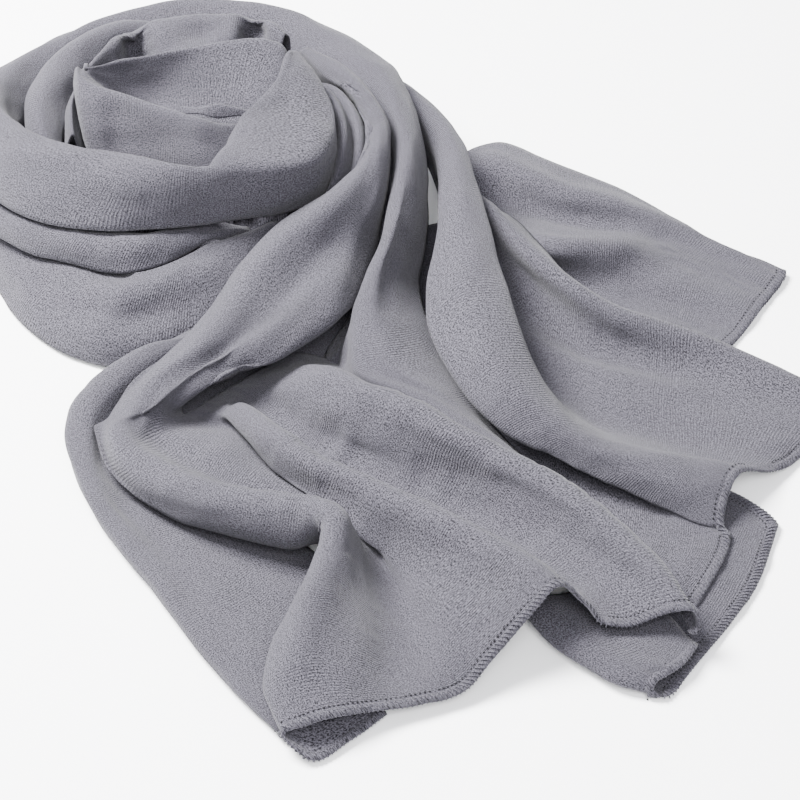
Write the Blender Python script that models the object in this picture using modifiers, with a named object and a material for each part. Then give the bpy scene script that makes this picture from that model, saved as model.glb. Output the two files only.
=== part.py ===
"""Jersey hijab, lying on a table as a loose swirl with its two hemmed ends fanned out beside it.

Units in the tables are millimetres; the scene is in metres, +Z up.  The origin is on the table,
under the middle of the swirl.  +X is to the right of the swirl and +Y to the back.
The scarf is one rectangle of cloth.  Each stretch of it that shows is a thin wall of its own, and
the layers hidden inside the heap share one rounded solid, which the scarf rests on.
"""

import math

import bmesh
import bpy
from mathutils import Vector
from mathutils.bvhtree import BVHTree

# ---------------------------------------------------------------- driving dimensions, mm
MM = 0.001
WALL = 2.0              # cloth and its nap
CLEARANCE = 1.6         # between one layer and the next
REACH = 5.0             # how far around a point the layer beneath is felt
BLOCKED = 10.0          # a layer more than this higher is passed, not climbed
STEP = 12.5             # side of one facet
FLOOR = 0.4             # lowest point of a wall

# ---------------------------------------------------------------- turns of the swirl
# A row is one section of a turn, cut by an upright plane through the middle of the swirl:
# angle (degrees), then radius and height of the rolled rim, of the foot outside it, and of the
# edge inside it, and how far the wall bellies out between rim and foot.
#    angle  rim       foot      inside    belly
UPPER_TURN = (
    (8, 121, 71, 133, 47, 113, 54, 3),
    (22, 125, 73, 141, 48, 115, 62, 3),
    (36, 131, 73, 150, 46, 117, 64, 5),
    (50, 139, 70, 160, 40, 119, 64, 6),
    (64, 151, 67, 174, 34, 128, 58, 6),
    (78, 168, 64, 187, 30, 142, 50, 6),
    (92, 181, 60, 196, 29, 152, 44, 5),
    (106, 186, 57, 199, 29, 158, 40, 5),
    (122, 184, 52, 198, 29, 160, 36, 5),
    (137, 177, 52, 196, 30, 156, 34, 5),
    (150, 165, 60, 192, 34, 150, 46, 6),
    (163, 138, 70, 172, 38, 129, 58, 7),
    (176, 110, 76, 148, 42, 101, 64, 8),
    (190, 80, 81, 128, 44, 70, 62, 8),
    (206, 57, 84, 104, 47, 48, 66, 7),
    (226, 49, 86, 79, 51, 41, 68, 5),
    (252, 45, 88, 58, 52, 38, 72, 3),
    (272, 44, 88, 51, 52, 41, 82, 3),
    (285, 47, 88, 50, 52, 32, 89, 3),
    (299, 51, 88, 52, 52, 25, 90, 3),
    (318, 59, 87, 60, 51, 20, 91, 3),
    (338, 68, 85, 70, 50, 19, 92, 3),
    (358, 72, 84, 74, 50, 20, 93, 3),
    (375, 73, 86, 76, 56, 24, 94, 3),
    (390, 76, 90, 79, 64, 34, 95, 3),
    (402, 80, 93, 83, 74, 54, 97, 2),
    (413, 83, 97, 86, 84, 76, 99, 1),
)
MIDDLE_FRONT_TURN = (
    (160, 167, 36, 177, 26, 160, 29, 2),
    (176, 140, 37, 154, 26, 128, 24, 4),
    (190, 119, 39, 139, 27, 108, 26, 5),
    (206, 95, 42, 117, 28, 86, 28, 5),
    (222, 75, 45, 100, 30, 66, 30, 5),
    (238, 62, 46, 90, 31, 54, 32, 5),
    (252, 50, 46, 72, 32, 44, 34, 4),
    (270, 43, 46, 53, 34, 37, 34, 3),
    (290, 42, 46, 47, 35, 36, 34, 2),
    (310, 46, 46, 47, 37, 40, 36, 1),
)
OUTER_TURN = (
    (60, 158, 22, 174, 2, 151, 14, 4),
    (82, 176, 24, 195, 2, 169, 16, 5),
    (104, 184, 24, 200, 2, 177, 16, 5),
    (126, 184, 24, 200, 2, 177, 16, 5),
    (146, 174, 22, 193, 2, 167, 14, 5),
    (164, 154, 20, 178, 2, 147, 12, 6),
    (182, 126, 21, 160, 2, 119, 13, 7),
    (200, 100, 23, 143, 2, 93, 15, 8),
    (216, 84, 26, 140, 2, 77, 18, 9),
    (230, 82, 28, 139, 2, 75, 20, 9),
    (241, 88, 32, 137, 2, 81, 24, 9),
    (250, 79, 35, 132, 2, 72, 27, 8),
    (262, 65, 38, 122, 2, 58, 30, 8),
    (276, 57, 40, 108, 3, 50, 32, 7),
    (296, 53, 42, 92, 6, 46, 34, 5),
    (318, 54, 43, 80, 12, 47, 35, 3),
)
SECOND_TURN = (
    (97, 140, 54, 148, 44, 134, 44, 3),
    (106, 146, 66, 156, 51, 137, 54, 4),
    (115, 147, 74, 158, 56, 135, 60, 5),
    (124, 142, 76, 156, 58, 128, 62, 5),
    (134, 134, 77, 150, 59, 119, 62, 5),
    (144, 126, 77, 142, 59, 111, 62, 5),
    (155, 117, 75, 133, 58, 102, 60, 5),
    (166, 108, 69, 119, 53, 96, 55, 4),
    (177, 96, 56, 106, 42, 86, 44, 3),
)
INNER_TURN = (
    (68, 112, 84, 120, 64, 98, 62, 3),
    (77, 122, 86, 132, 64, 100, 58, 3),
    (86, 124, 86, 136, 64, 96, 74, 3),
    (96, 124, 86, 136, 64, 92, 78, 3),
    (106, 124, 86, 136, 64, 90, 78, 3),
    (115, 123, 86, 134, 64, 92, 66, 3),
    (124, 115, 86, 124, 64, 94, 56, 3),
    (134, 107, 86, 114, 62, 95, 66, 3),
    (145, 101, 84, 107, 60, 92, 62, 2),
    (158, 94, 80, 99, 56, 86, 58, 2),
    (172, 86, 72, 91, 50, 78, 50, 2),
)
SIDE_TURN_INNER = (
    (42, 87.5, 78, 90, 60, 85.5, 77, 1.5),
    (30, 85, 80, 88.5, 57, 82.5, 79, 1.5),
    (14, 82.5, 78, 86, 54, 80, 77, 1.5),
    (0, 81, 73, 84, 48, 79, 72, 1.5),
    (-12, 79, 64, 81.5, 42, 77, 63, 1.5),
    (-22, 75, 53, 77, 38, 73, 52, 1.5),
)
SIDE_TURN_OUTER = (
    (36, 93.5, 77, 96, 60, 91, 76, 1.5),
    (28, 92.5, 77, 96, 58, 90, 76, 1.5),
    (16, 91.5, 74, 95.5, 54, 88.5, 73, 1.5),
    (2, 89.5, 67, 93, 50, 86.5, 66, 1.5),
    (-10, 87, 58, 90, 44, 84, 57, 1.5),
    (-20, 81.5, 48, 84, 38, 79.5, 47, 1.5),
)

# ---------------------------------------------------------------- stretches that run out flat
# A row is one fold or edge of a stretch; its columns are stations along the cloth, each with its
# x, y and height.  Between rows and between stations the cloth runs smoothly.
#    fold              stations, from the swirl towards the hem
BRIGHT_FOLD = (
    ("foot right", (132, 15, 46), (134, -6, 38), (131, -40, 28), (128, -78, 20), (136, -117, 16),
     (154, -158, 13), (178, -200, 10), (201, -225, 9), (219, -238, 8)),
    ("slope right", (129, 14, 62), (130, -22, 50), (121, -58, 37), (119, -98, 28), (132, -134, 22),
     (149, -168, 20), (172, -203, 17), (196, -227, 14), (216, -240, 11)),
    ("ridge", (121, 13, 71), (122, -22, 68), (112, -65, 57), (102, -117, 42), (111, -152, 33),
     (138, -177, 28), (164, -202, 24), (189, -227, 20), (212, -242, 14)),
    ("slope left", (115, 12, 67), (114, -24, 62), (103, -68, 52), (91, -117, 39), (99, -152, 31),
     (126, -175, 29), (157, -203, 26), (184, -227, 22), (208, -243, 16)),
    ("edge left", (113, 12, 60), (111, -22, 53), (101, -66, 45), (87, -118, 33), (91, -154, 29),
     (118, -175, 29), (152, -205, 26), (181, -228, 23), (205, -245, 18)),
    ("left face", (114, 12, 54), (114, -20, 45), (107, -62, 35), (83, -124, 22), (88, -155, 27),
     (114, -177, 28), (149, -206, 26), (179, -228, 23), (203, -246, 19)),
    ("left foot", (114, 11, 50), (116, -19, 40), (112, -58, 28), (78, -132, 16), (86, -156, 25),
     (112, -179, 26), (146, -207, 25), (177, -229, 22), (201, -247, 18)),
)
BACK_TAIL = (
    ("far edge", (150, 78, 6), (180, 84, 14), (218, 62, 12), (255, 42, 9), (297, 5, 5), (352, -35, 4)),
    ("far ridge", (150, 50, 10), (179, 51, 18), (216, 31, 17), (253, 18, 14), (296, -1, 8), (350, -42, 4)),
    ("far trough", (152, 32, 8), (181, 29, 9), (216, 15, 8), (253, 6, 9), (289, -9, 7), (344, -52, 4)),
    ("near ridge", (154, -6, 8), (182, -23, 16), (213, -34, 22), (243, -32, 19), (280, -27, 10), (335, -66, 4)),
    ("near trough", (154, -23, 6), (186, -35, 8), (216, -46, 7), (244, -52, 8), (273, -56, 7), (324, -85, 4)),
    ("near edge", (158, -50, 5), (188, -65, 4), (217, -81, 4), (240, -92, 4), (264, -99, 4), (305, -112, 4)),
)
MIDDLE_TAIL = (
    ("far foot", (113, 126, 24), (130, 97, 22), (155, 52, 22), (162, 16, 24), (177, -2, 26), (198, -30, 24),
     (223, -62, 12), (248, -83, 7), (277, -97, 6), (316, -117, 5), (348, -141, 4), (379, -156, 4)),
    ("far ridge", (113, 126, 27), (130, 96, 27), (154, 52, 27), (160, 9, 35), (170, -16, 37), (193, -54, 33),
     (221, -85, 28), (246, -99, 23), (275, -108, 18), (314, -122, 11), (348, -140, 7), (380, -154, 4)),
    ("far trough", (112, 126, 30), (129, 96, 31), (153, 51, 31), (159, 0, 32), (171, -35, 20), (196, -65, 17),
     (221, -96, 14), (248, -114, 11), (274, -127, 9), (309, -145, 7), (343, -160, 6), (371, -168, 4)),
    ("plain", (112, 125, 32), (129, 96, 35), (153, 51, 35), (160, -10, 32), (175, -67, 14), (194, -113, 12),
     (217, -129, 8), (242, -149, 7), (269, -164, 6), (302, -178, 6), (331, -187, 6), (352, -188, 4)),
    ("band foot", (112, 125, 35), (128, 96, 39), (152, 51, 40), (162, -15, 38), (178, -106, 18), (201, -150, 10),
     (221, -172, 8), (244, -190, 8), (268, -200, 8), (293, -211, 10), (313, -217, 10), (330, -212, 5)),
    ("band far edge", (111, 125, 38), (128, 96, 44), (150, 51, 48), (162, -12, 50), (178, -112, 46), (194, -177, 36),
     (212, -206, 30), (236, -216, 26), (261, -222, 24), (284, -225, 22), (298, -228, 21), (303, -231, 20)),
    ("band crown", (106, 122, 42), (122, 93, 48), (143, 49, 52), (151, -28, 56), (153, -120, 50), (169, -192, 42),
     (192, -213, 33), (220, -225, 27), (247, -236, 23), (270, -243, 20), (286, -245, 18), (294, -247, 16)),
    ("band near edge", (100, 119, 39), (115, 90, 44), (135, 47, 46), (138, -36, 46), (131, -130, 38), (159, -193, 30),
     (182, -213, 23), (210, -227, 18), (237, -240, 14), (263, -252, 11), (281, -259, 9), (291, -260, 8)),
    ("tuck", (98, 118, 34), (113, 89, 37), (133, 46, 38), (143, -36, 34), (145, -118, 24), (171, -168, 18),
     (197, -194, 12), (223, -214, 8), (246, -234, 6), (267, -254, 5), (285, -264, 6), (294, -267, 7)),
    ("panel below", (97, 117, 28), (112, 88, 28), (134, 45, 27), (147, -36, 20), (152, -112, 8), (174, -178, 5),
     (197, -216, 4), (222, -248, 5), (242, -270, 6), (260, -284, 6), (275, -290, 5), (286, -291, 4)),
    ("panel near", (98, 116, 24), (112, 87, 24), (133, 43, 23), (147, -40, 15), (152, -118, 6), (170, -188, 4),
     (190, -228, 5), (212, -262, 7), (228, -288, 8), (243, -306, 7), (257, -316, 6), (269, -323, 5)),
)
LONG_FOLD = (
    ("tuck end", (54, 101, 58), (74, 78, 52), (92, 60, 50), (101, 34, 50), (102, 4, 50), (94, -20, 47),
     (78, -40, 44), (60, -52, 42), (38, -68, 36), (20, -98, 27), (0, -130, 18), (-24, -162, 13), (-42, -189, 11)),
    ("tuck", (52, 101, 64), (70, 78, 60), (88, 57, 57), (97, 31, 58), (98, 4, 57), (89, -20, 53),
     (71, -38, 50), (52, -50, 47), (28, -71, 39), (10, -102, 30), (-11, -137, 21), (-34, -163, 15), (-51, -195, 12)),
    ("edge low", (50, 101, 69), (66, 77, 66), (84, 55, 64), (94, 31, 65), (95, 4, 64), (83, -20, 60),
     (66, -38, 56), (45, -50, 50), (22, -72, 42), (5, -104, 33), (-16, -136, 25), (-40, -160, 18), (-56, -197, 13)),
    ("edge", (51, 99, 74), (66, 75, 72), (84, 52, 70), (96, 28, 70), (95, 1, 69), (83, -21, 65),
     (66, -38, 61), (46, -50, 55), (24, -73, 46), (7, -105, 37), (-14, -136, 29), (-38, -160, 21), (-54, -196, 17)),
    ("ridge", (54, 98, 77), (70, 73, 78), (89, 47, 77), (100, 24, 76), (99, -4, 74), (90, -29, 72),
     (75, -51, 68), (57, -66, 62), (35, -89, 55), (19, -119, 46), (-1, -148, 39), (-25, -169, 32), (-44, -204, 26)),
    ("trough", (56, 99, 77), (74, 75, 80), (94, 48, 79), (104, 24, 77), (104, -6, 74), (99, -31, 67),
     (86, -53, 57), (71, -69, 49), (52, -98, 43), (36, -122, 39), (15, -145, 35), (-9, -168, 31), (-33, -198, 26)),
    ("second ridge", (58, 100, 75), (77, 77, 77), (97, 49, 76), (107, 24, 73), (108, -6, 69), (103, -34, 60),
     (93, -54, 49), (84, -76, 45), (70, -101, 45), (55, -120, 43), (28, -144, 39), (1, -161, 34), (-22, -186, 24)),
    ("lower edge", (59, 102, 68), (77, 79, 66), (97, 51, 63), (108, 25, 60), (108, -4, 54), (105, -28, 42),
     (100, -52, 31), (93, -84, 27), (82, -112, 33), (63, -134, 31), (33, -157, 28), (4, -170, 25), (-14, -179, 16)),
    ("lower tuck", (57, 101, 60), (73, 76, 56), (92, 49, 52), (103, 25, 50), (104, -4, 46), (102, -24, 34),
     (96, -48, 25), (88, -76, 21), (75, -100, 24), (56, -120, 23), (26, -145, 21), (0, -158, 19), (-9, -169, 13)),
)
FRONT_TAIL = (
    ("tuck end", (-42, -191, 11), (-37, -207, 10), (-25, -220, 10), (-7, -232, 10), (12, -243, 10), (39, -254, 10),
     (63, -262, 11), (85, -276, 12), (83, -307, 12), (76, -335, 11), (72, -362, 8), (80, -380, 4), (108, -391, 3)),
    ("tuck", (-51, -197, 12), (-44, -215, 11), (-29, -231, 11), (-10, -245, 11), (9, -256, 11), (36, -267, 11),
     (60, -273, 12), (79, -280, 13), (76, -309, 13), (68, -337, 12), (61, -364, 9), (64, -388, 5), (90, -408, 3)),
    ("edge low", (-56, -199, 13), (-48, -222, 12), (-33, -241, 12), (-14, -256, 12), (6, -267, 12), (33, -278, 13),
     (57, -285, 14), (74, -283, 16), (68, -311, 16), (59, -338, 15), (51, -365, 12), (50, -390, 7), (70, -421, 3)),
    ("edge", (-54, -198, 17), (-47, -220, 15), (-32, -241, 16), (-12, -256, 17), (7, -268, 18), (35, -280, 19),
     (60, -288, 21), (74, -285, 22), (67, -312, 22), (57, -337, 20), (49, -361, 18), (46, -387, 14), (59, -415, 9)),
    ("ridge", (-44, -206, 26), (-37, -227, 26), (-23, -243, 27), (-5, -255, 29), (15, -265, 31), (41, -273, 33),
     (66, -280, 37), (80, -290, 41), (77, -310, 37), (69, -333, 34), (62, -355, 30), (59, -382, 24), (68, -409, 16)),
    ("trough", (-33, -200, 26), (-30, -214, 25), (-15, -230, 26), (3, -239, 27), (22, -249, 28), (48, -260, 29),
     (72, -266, 31), (86, -285, 37), (86, -305, 34), (81, -327, 32), (78, -351, 29), (78, -377, 23), (85, -403, 16)),
    ("second ridge", (-22, -188, 24), (-22, -200, 20), (-6, -213, 21), (11, -220, 22), (29, -234, 22),
     (54, -246, 22), (77, -258, 24), (91, -280, 28), (94, -305, 26), (94, -330, 25), (96, -354, 22),
     (97, -378, 18), (105, -395, 12)),
    ("lower edge", (-14, -181, 16), (-11, -187, 13), (4, -194, 14), (20, -200, 15), (38, -217, 14), (60, -233, 14),
     (81, -253, 15), (96, -281, 18), (102, -306, 18), (108, -331, 17), (113, -355, 14), (119, -374, 10),
     (126, -388, 7)),
    ("valley", (-8, -172, 9), (-2, -174, 7), (8, -179, 7), (24, -183, 8), (42, -203, 8), (59, -219, 8),
     (79, -241, 8), (97, -266, 9), (106, -291, 10), (117, -321, 12), (127, -347, 11), (138, -366, 9),
     (147, -380, 8)),
    ("near edge", (0, -164, 8), (5, -168, 9), (11, -174, 12), (18, -184, 16), (35, -213, 20), (50, -238, 20),
     (67, -260, 20), (88, -279, 19), (104, -289, 16), (124, -310, 18), (141, -332, 20), (154, -352, 20),
     (164, -364, 18)),
    ("near ridge", (6, -158, 9), (12, -162, 12), (18, -169, 16), (26, -178, 21), (42, -211, 29), (60, -229, 31),
     (81, -248, 31), (102, -262, 31), (122, -275, 32), (146, -293, 34), (169, -312, 36), (186, -327, 38),
     (195, -339, 39)),
    ("far slope", (11, -153, 9), (18, -157, 12), (25, -164, 15), (34, -174, 19), (49, -203, 25), (69, -216, 27),
     (91, -233, 26), (113, -246, 25), (134, -261, 26), (158, -284, 27), (181, -305, 29), (199, -324, 31),
     (208, -337, 31)),
    ("valley far", (16, -148, 8), (23, -152, 11), (31, -159, 14), (40, -169, 17), (56, -194, 19), (75, -204, 20),
     (98, -220, 20), (121, -233, 20), (142, -249, 20), (167, -269, 20), (192, -291, 21), (211, -318, 22),
     (219, -344, 21)),
    ("far edge", (21, -144, 8), (29, -147, 11), (37, -154, 15), (46, -164, 20), (61, -187, 22), (80, -201, 23),
     (103, -215, 23), (126, -226, 22), (149, -241, 21), (175, -261, 21), (202, -284, 21), (223, -312, 20),
     (233, -344, 18)),
    ("far body", (27, -139, 8), (36, -142, 12), (44, -149, 17), (54, -158, 23), (68, -176, 28), (86, -192, 30),
     (108, -207, 29), (132, -218, 28), (155, -233, 26), (183, -254, 25), (211, -279, 25), (235, -309, 23),
     (249, -340, 21)),
    ("far ridge", (35, -133, 8), (44, -135, 12), (53, -140, 17), (64, -147, 24), (79, -164, 31), (96, -182, 34),
     (117, -194, 34), (139, -213, 32), (162, -228, 30), (193, -251, 29), (221, -277, 28), (246, -310, 27),
     (264, -342, 25)),
    ("far face", (42, -126, 6), (51, -127, 9), (60, -131, 12), (71, -138, 16), (87, -155, 22), (103, -174, 24),
     (122, -188, 24), (143, -207, 22), (166, -222, 20), (197, -246, 19), (226, -276, 19), (252, -310, 19),
     (269, -344, 19)),
    ("far foot", (49, -117, 4), (58, -117, 5), (68, -120, 6), (79, -124, 7), (98, -138, 7), (114, -157, 7),
     (131, -171, 7), (151, -190, 7), (174, -208, 7), (202, -236, 7), (226, -275, 9), (252, -314, 10),
     (266, -348, 12)),
)
FRONT_UNDER = (
    ("top under crest", (221, -295, 10), (241, -313, 10), (257, -332, 10), (265, -344, 9), (269, -349, 9)),
    ("top slope", (210, -311, 11), (226, -329, 11), (242, -349, 11), (255, -360, 10), (261, -362, 9)),
    ("top near", (199, -318, 13), (213, -338, 13), (229, -357, 12), (245, -368, 11), (253, -369, 9)),
    ("roll top", (186, -318, 14), (201, -344, 13), (219, -361, 12), (238, -371, 11), (246, -374, 9)),
    ("roll edge", (176, -317, 8), (192, -344, 7), (211, -362, 6), (230, -374, 6), (244, -377, 5)),
    ("roll bottom", (184, -313, 3), (201, -341, 3), (219, -360, 3), (238, -374, 3), (249, -379, 3)),
    ("sheet left", (211, -305, 3), (230, -326, 3), (248, -344, 3), (260, -359, 3), (267, -358, 3)),
    ("sheet middle", (234, -286, 3), (251, -305, 3), (269, -319, 3), (281, -331, 3), (287, -330, 3)),
    ("sheet right", (257, -260, 3), (273, -271, 3), (289, -282, 3), (300, -294, 3), (305, -301, 3)),
    ("side edge", (277, -220, 3), (291, -225, 3), (307, -236, 3), (318, -248, 3), (322, -255, 3)),
)
FRONT_LEFT = (
    ("edge low", (-8, -113, 22), (-31, -123, 15), (-54, -136, 9), (-70, -156, 6), (-74, -191, 5), (-65, -223, 5),
     (-46, -263, 5), (-15, -310, 5), (16, -359, 5), (43, -393, 4), (57, -406, 3)),
    ("edge", (-5, -121, 25), (-30, -129, 24), (-54, -144, 18), (-70, -163, 14), (-74, -191, 12), (-65, -225, 11),
     (-46, -263, 10), (-14, -311, 10), (17, -358, 9), (42, -392, 7), (56, -408, 5)),
    ("ridge", (3, -119, 24), (-20, -132, 25), (-42, -150, 22), (-57, -170, 18), (-62, -197, 15), (-54, -228, 14),
     (-36, -263, 13), (-5, -306, 12), (26, -351, 11), (50, -385, 8), (61, -405, 5)),
    ("slope", (9, -113, 20), (-12, -133, 15), (-33, -154, 10), (-48, -174, 8), (-52, -198, 7), (-43, -228, 8),
     (-22, -262, 9), (11, -302, 9), (41, -343, 8), (62, -378, 6), (70, -400, 4)),
    ("trough", (16, -108, 10), (-4, -130, 7), (-24, -152, 5), (-38, -174, 4), (-38, -198, 4), (-26, -221, 4),
     (0, -249, 4), (31, -280, 4), (62, -317, 4), (80, -354, 4), (85, -388, 3)),
    ("far edge", (30, -108, 5), (14, -128, 4), (0, -148, 4), (-14, -168, 4), (-10, -190, 4), (4, -208, 4),
     (28, -234, 4), (58, -266, 4), (88, -300, 4), (104, -336, 4), (104, -370, 3)),
)
INNER_CUP = (
    ("front foot", (-77, 10, 62), (-56, 2, 60), (-32, -8, 60), (-10, -20, 62), (6, -22, 64), (20, -12, 68), (34, 2, 70)),
    ("front belly", (-81, 24, 82), (-58, 14, 80), (-32, 2, 79), (-11, -8, 79), (4, -10, 78), (18, -4, 76), (34, 8, 74)),
    ("front rim", (-82, 38, 96), (-58, 26, 94), (-34, 14, 93), (-15, 6, 92), (-3, 2, 91), (10, 4, 86), (32, 14, 78)),
    ("front inside", (-79, 42, 95), (-57, 34, 85), (-33, 24, 82), (-14, 16, 80), (0, 12, 76), (14, 14, 76), (34, 20, 76)),
    ("hollow", (-77, 44, 95), (-55, 42, 76), (-32, 36, 72), (-10, 32, 72), (8, 28, 70), (22, 26, 74), (38, 28, 78)),
    ("back face low", (-76, 45, 96), (-54, 48, 81), (-34, 50, 78), (-10, 50, 80), (14, 46, 82), (30, 40, 82), (43, 38, 80)),
    ("back face high", (-76, 46, 97), (-55, 52, 91), (-36, 57, 90), (-12, 62, 91), (18, 64, 94), (37, 58, 90), (45, 52, 86)),
    ("back rim", (-77, 47, 98), (-57, 54, 98), (-38, 60, 98), (-8, 70, 98), (22, 75, 100), (40, 72, 97), (46, 63, 90)),
    ("back outside", (-78, 50, 90), (-58, 60, 88), (-40, 66, 88), (-8, 77, 88), (24, 83, 88), (42, 81, 88), (46, 77, 85)),
)
CENTRE_CURL = (
    ("front", (-18, 20, 76), (-8, 18, 78), (3, 16, 80), (14, 17, 79), (24, 18, 77)),
    ("crest", (-19, 24, 80), (-8, 22, 85), (4, 21, 88), (16, 20, 86), (27, 20, 81)),
    ("back", (-18, 28, 76), (-8, 28, 78), (4, 28, 80), (16, 27, 80), (28, 25, 79)),
)

# ---------------------------------------------------------------- cloth, its colour and its nodes
CLOTH_COLOUR = (0.27, 0.27, 0.30, 1.0)
CLOTH_ROUGHNESS = 0.9

# Stretches from the table upwards: each lies over those named before it, save a free turn, whose
# own sections keep it clear.
LAYERS = (
    ("front_under", FRONT_UNDER, "folds"),
    ("back_tail", BACK_TAIL, "folds"),
    ("middle_tail", MIDDLE_TAIL, "folds"),
    ("outer_turn", OUTER_TURN, "turn"),
    ("front_left", FRONT_LEFT, "folds"),
    ("middle_front_turn", MIDDLE_FRONT_TURN, "turn"),
    ("second_turn", SECOND_TURN, "turn"),
    ("inner_turn", INNER_TURN, "turn"),
    ("inner_cup", INNER_CUP, "folds"),
    ("centre_curl", CENTRE_CURL, "folds"),
    ("side_turn_inner", SIDE_TURN_INNER, "free turn"),
    ("side_turn_outer", SIDE_TURN_OUTER, "free turn"),
    ("upper_turn", UPPER_TURN, "turn"),
    ("front_tail", FRONT_TAIL, "folds"),
    ("long_fold", LONG_FOLD, "folds"),
    ("bright_fold", BRIGHT_FOLD, "folds"),
)

CORE_SPOKES = 44
CORE_RINGS = 13
CORE_TOP = 48.0         # below the inner turns' lower edges
CORE_FALL = 14.0        # from the middle of the heap to its edge
CORE_INSET = 11.0       # of the core's edge from the foot of the outer turn
CORE_EDGE = 2.5         # least height of the core
CORE_LOOK = 15.0         # how far around a point of the core the cloth above is felt
CORE_GAP = 5.0           # between the core and the cloth above it


def clear_scene():
    for old in list(bpy.data.objects):
        bpy.data.objects.remove(old, do_unlink=True)


def between(a, b, share):
    return a + (b - a) * share


def on_curve(points, knots, place):
    """Point of the smooth curve through points, at a place measured along its knots."""
    last = len(points) - 1
    i = 0
    while i < last - 1 and place > knots[i + 1]:
        i += 1
    slopes = []
    for j in (i, i + 1):
        back, ahead = max(j - 1, 0), min(j + 1, last)
        before = (points[j] - points[back]) / (knots[j] - knots[back]) if j > back else None
        after = (points[ahead] - points[j]) / (knots[ahead] - knots[j]) if ahead > j else None
        if before is None or after is None:
            slopes.append(after if before is None else before)
        else:
            share = (knots[j] - knots[back]) / (knots[ahead] - knots[back])
            slopes.append(before.lerp(after, share))
    span = knots[i + 1] - knots[i]
    t = (place - knots[i]) / span
    return (points[i] * (2 * t ** 3 - 3 * t ** 2 + 1) + slopes[0] * span * (t ** 3 - 2 * t ** 2 + t)
            + points[i + 1] * (3 * t ** 2 - 2 * t ** 3) + slopes[1] * span * (t ** 3 - t ** 2))


def mean_knots(lines):
    """Distance to each point of a bundle of lines, averaged over the lines."""
    knots = [0.0]
    for i in range(1, len(lines[0])):
        spans = [(line[i] - line[i - 1]).length for line in lines]
        knots.append(knots[-1] + max(sum(spans) / len(spans), 0.5))
    return knots


def facet_places(knots, step):
    places = [knots[0]]
    for start, end in zip(knots, knots[1:]):
        count = max(1, round((end - start) / step))
        places += [between(start, end, k / count) for k in range(1, count + 1)]
    return places


def resample(lines, step):
    knots = mean_knots(lines)
    places = facet_places(knots, step)
    return [[on_curve(line, knots, place) for place in places] for line in lines]


def transpose(grid):
    return [list(column) for column in zip(*grid)]


def grid_from_folds(table, step):
    """Grid of points over a stretch given by its fold lines; grid[i] is one line along it."""
    lines = [[Vector(station) for station in row[1:]] for row in table]
    return transpose(resample(transpose(resample(lines, step)), step))


def grid_from_turn(table, step):
    """Grid of points over one turn of the swirl, given by its upright sections."""
    sections = []
    for angle, rim_r, rim_z, foot_r, foot_z, inside_r, inside_z, belly in table:
        out = Vector((math.cos(math.radians(angle)), math.sin(math.radians(angle)), 0))
        up = Vector((0, 0, 1))
        rim, foot, inside = out * rim_r + up * rim_z, out * foot_r + up * foot_z, out * inside_r + up * inside_z
        push = (out * (rim_z - foot_z) + up * (foot_r - rim_r)).normalized() * belly
        sections.append([
            inside,
            inside.lerp(rim, 0.6) + up * belly * 0.5,
            rim,
            rim.lerp(foot, 0.3) + push,
            rim.lerp(foot, 0.7) + push,
            foot,
        ])
    return transpose(resample(transpose(resample(transpose(sections), step)), step))


def height_needed(tree, x, y, z):
    """Height that a point of a new layer takes so that it clears one layer placed before."""
    lowest = z
    above, above_normal, _, _ = tree.ray_cast(Vector((x, y, z)), Vector((0, 0, 1)))
    below, _, _, _ = tree.ray_cast(Vector((x, y, z)), Vector((0, 0, -1)))
    if above and above_normal.z > 0 and above.z - z < BLOCKED:
        lowest = above.z + WALL + CLEARANCE
    elif below and not (above and above_normal.z > 0):
        lowest = max(z, below.z + WALL + CLEARANCE)
    return lowest


def lie_over(grid, trees):
    """Lift the points of a new layer off the layers placed before."""
    around = [(0, 0)] + [(REACH * math.cos(k * math.pi / 3), REACH * math.sin(k * math.pi / 3)) for k in range(6)]
    for line in grid:
        for point in line:
            point.z = max(point.z, WALL + FLOOR)
            needed = point.z
            for tree in trees:
                for dx, dy in around:
                    needed = max(needed, height_needed(tree, point.x + dx, point.y + dy, point.z))
            if needed - point.z < BLOCKED:
                point.z = needed


def mesh_from_grid(name, grid):
    mesh = bpy.data.meshes.new(name)
    shape = bmesh.new()
    rows = [[shape.verts.new(point * MM) for point in line] for line in grid]
    for near, far in zip(rows, rows[1:]):
        for i in range(len(near) - 1):
            shape.faces.new((near[i], near[i + 1], far[i + 1], far[i]))
    shape.normal_update()
    if sum(face.normal.z * face.calc_area() for face in shape.faces) < 0:
        bmesh.ops.reverse_faces(shape, faces=shape.faces)
    shape.to_mesh(mesh)
    shape.free()
    mesh.shade_smooth()
    return mesh


def cloth_material(name):
    material = bpy.data.materials.new(name)
    material.use_nodes = True
    shader = material.node_tree.nodes["Principled BSDF"]
    shader.inputs["Base Color"].default_value = CLOTH_COLOUR
    shader.inputs["Roughness"].default_value = CLOTH_ROUGHNESS
    shader.inputs["Metallic"].default_value = 0.0
    return material


def add_node(name, mesh, collection):
    node = bpy.data.objects.new(name, mesh)
    collection.objects.link(node)
    mesh.materials.append(cloth_material(name + "_jersey"))
    return node


def add_wall(name, grid, collection):
    node = add_node(name, mesh_from_grid(name, grid), collection)
    thickness = node.modifiers.new("Wall", "SOLIDIFY")
    thickness.thickness = WALL * MM
    thickness.offset = -1.0
    thickness.use_even_offset = False
    return node


def tree_of(node):
    """Search tree of a finished wall, in millimetres."""
    evaluated = node.evaluated_get(bpy.context.evaluated_depsgraph_get())
    mesh = evaluated.to_mesh()
    points = [vertex.co / MM for vertex in mesh.vertices]
    faces = [tuple(face.vertices) for face in mesh.polygons]
    evaluated.to_mesh_clear()
    return BVHTree.FromPolygons(points, faces)


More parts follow.
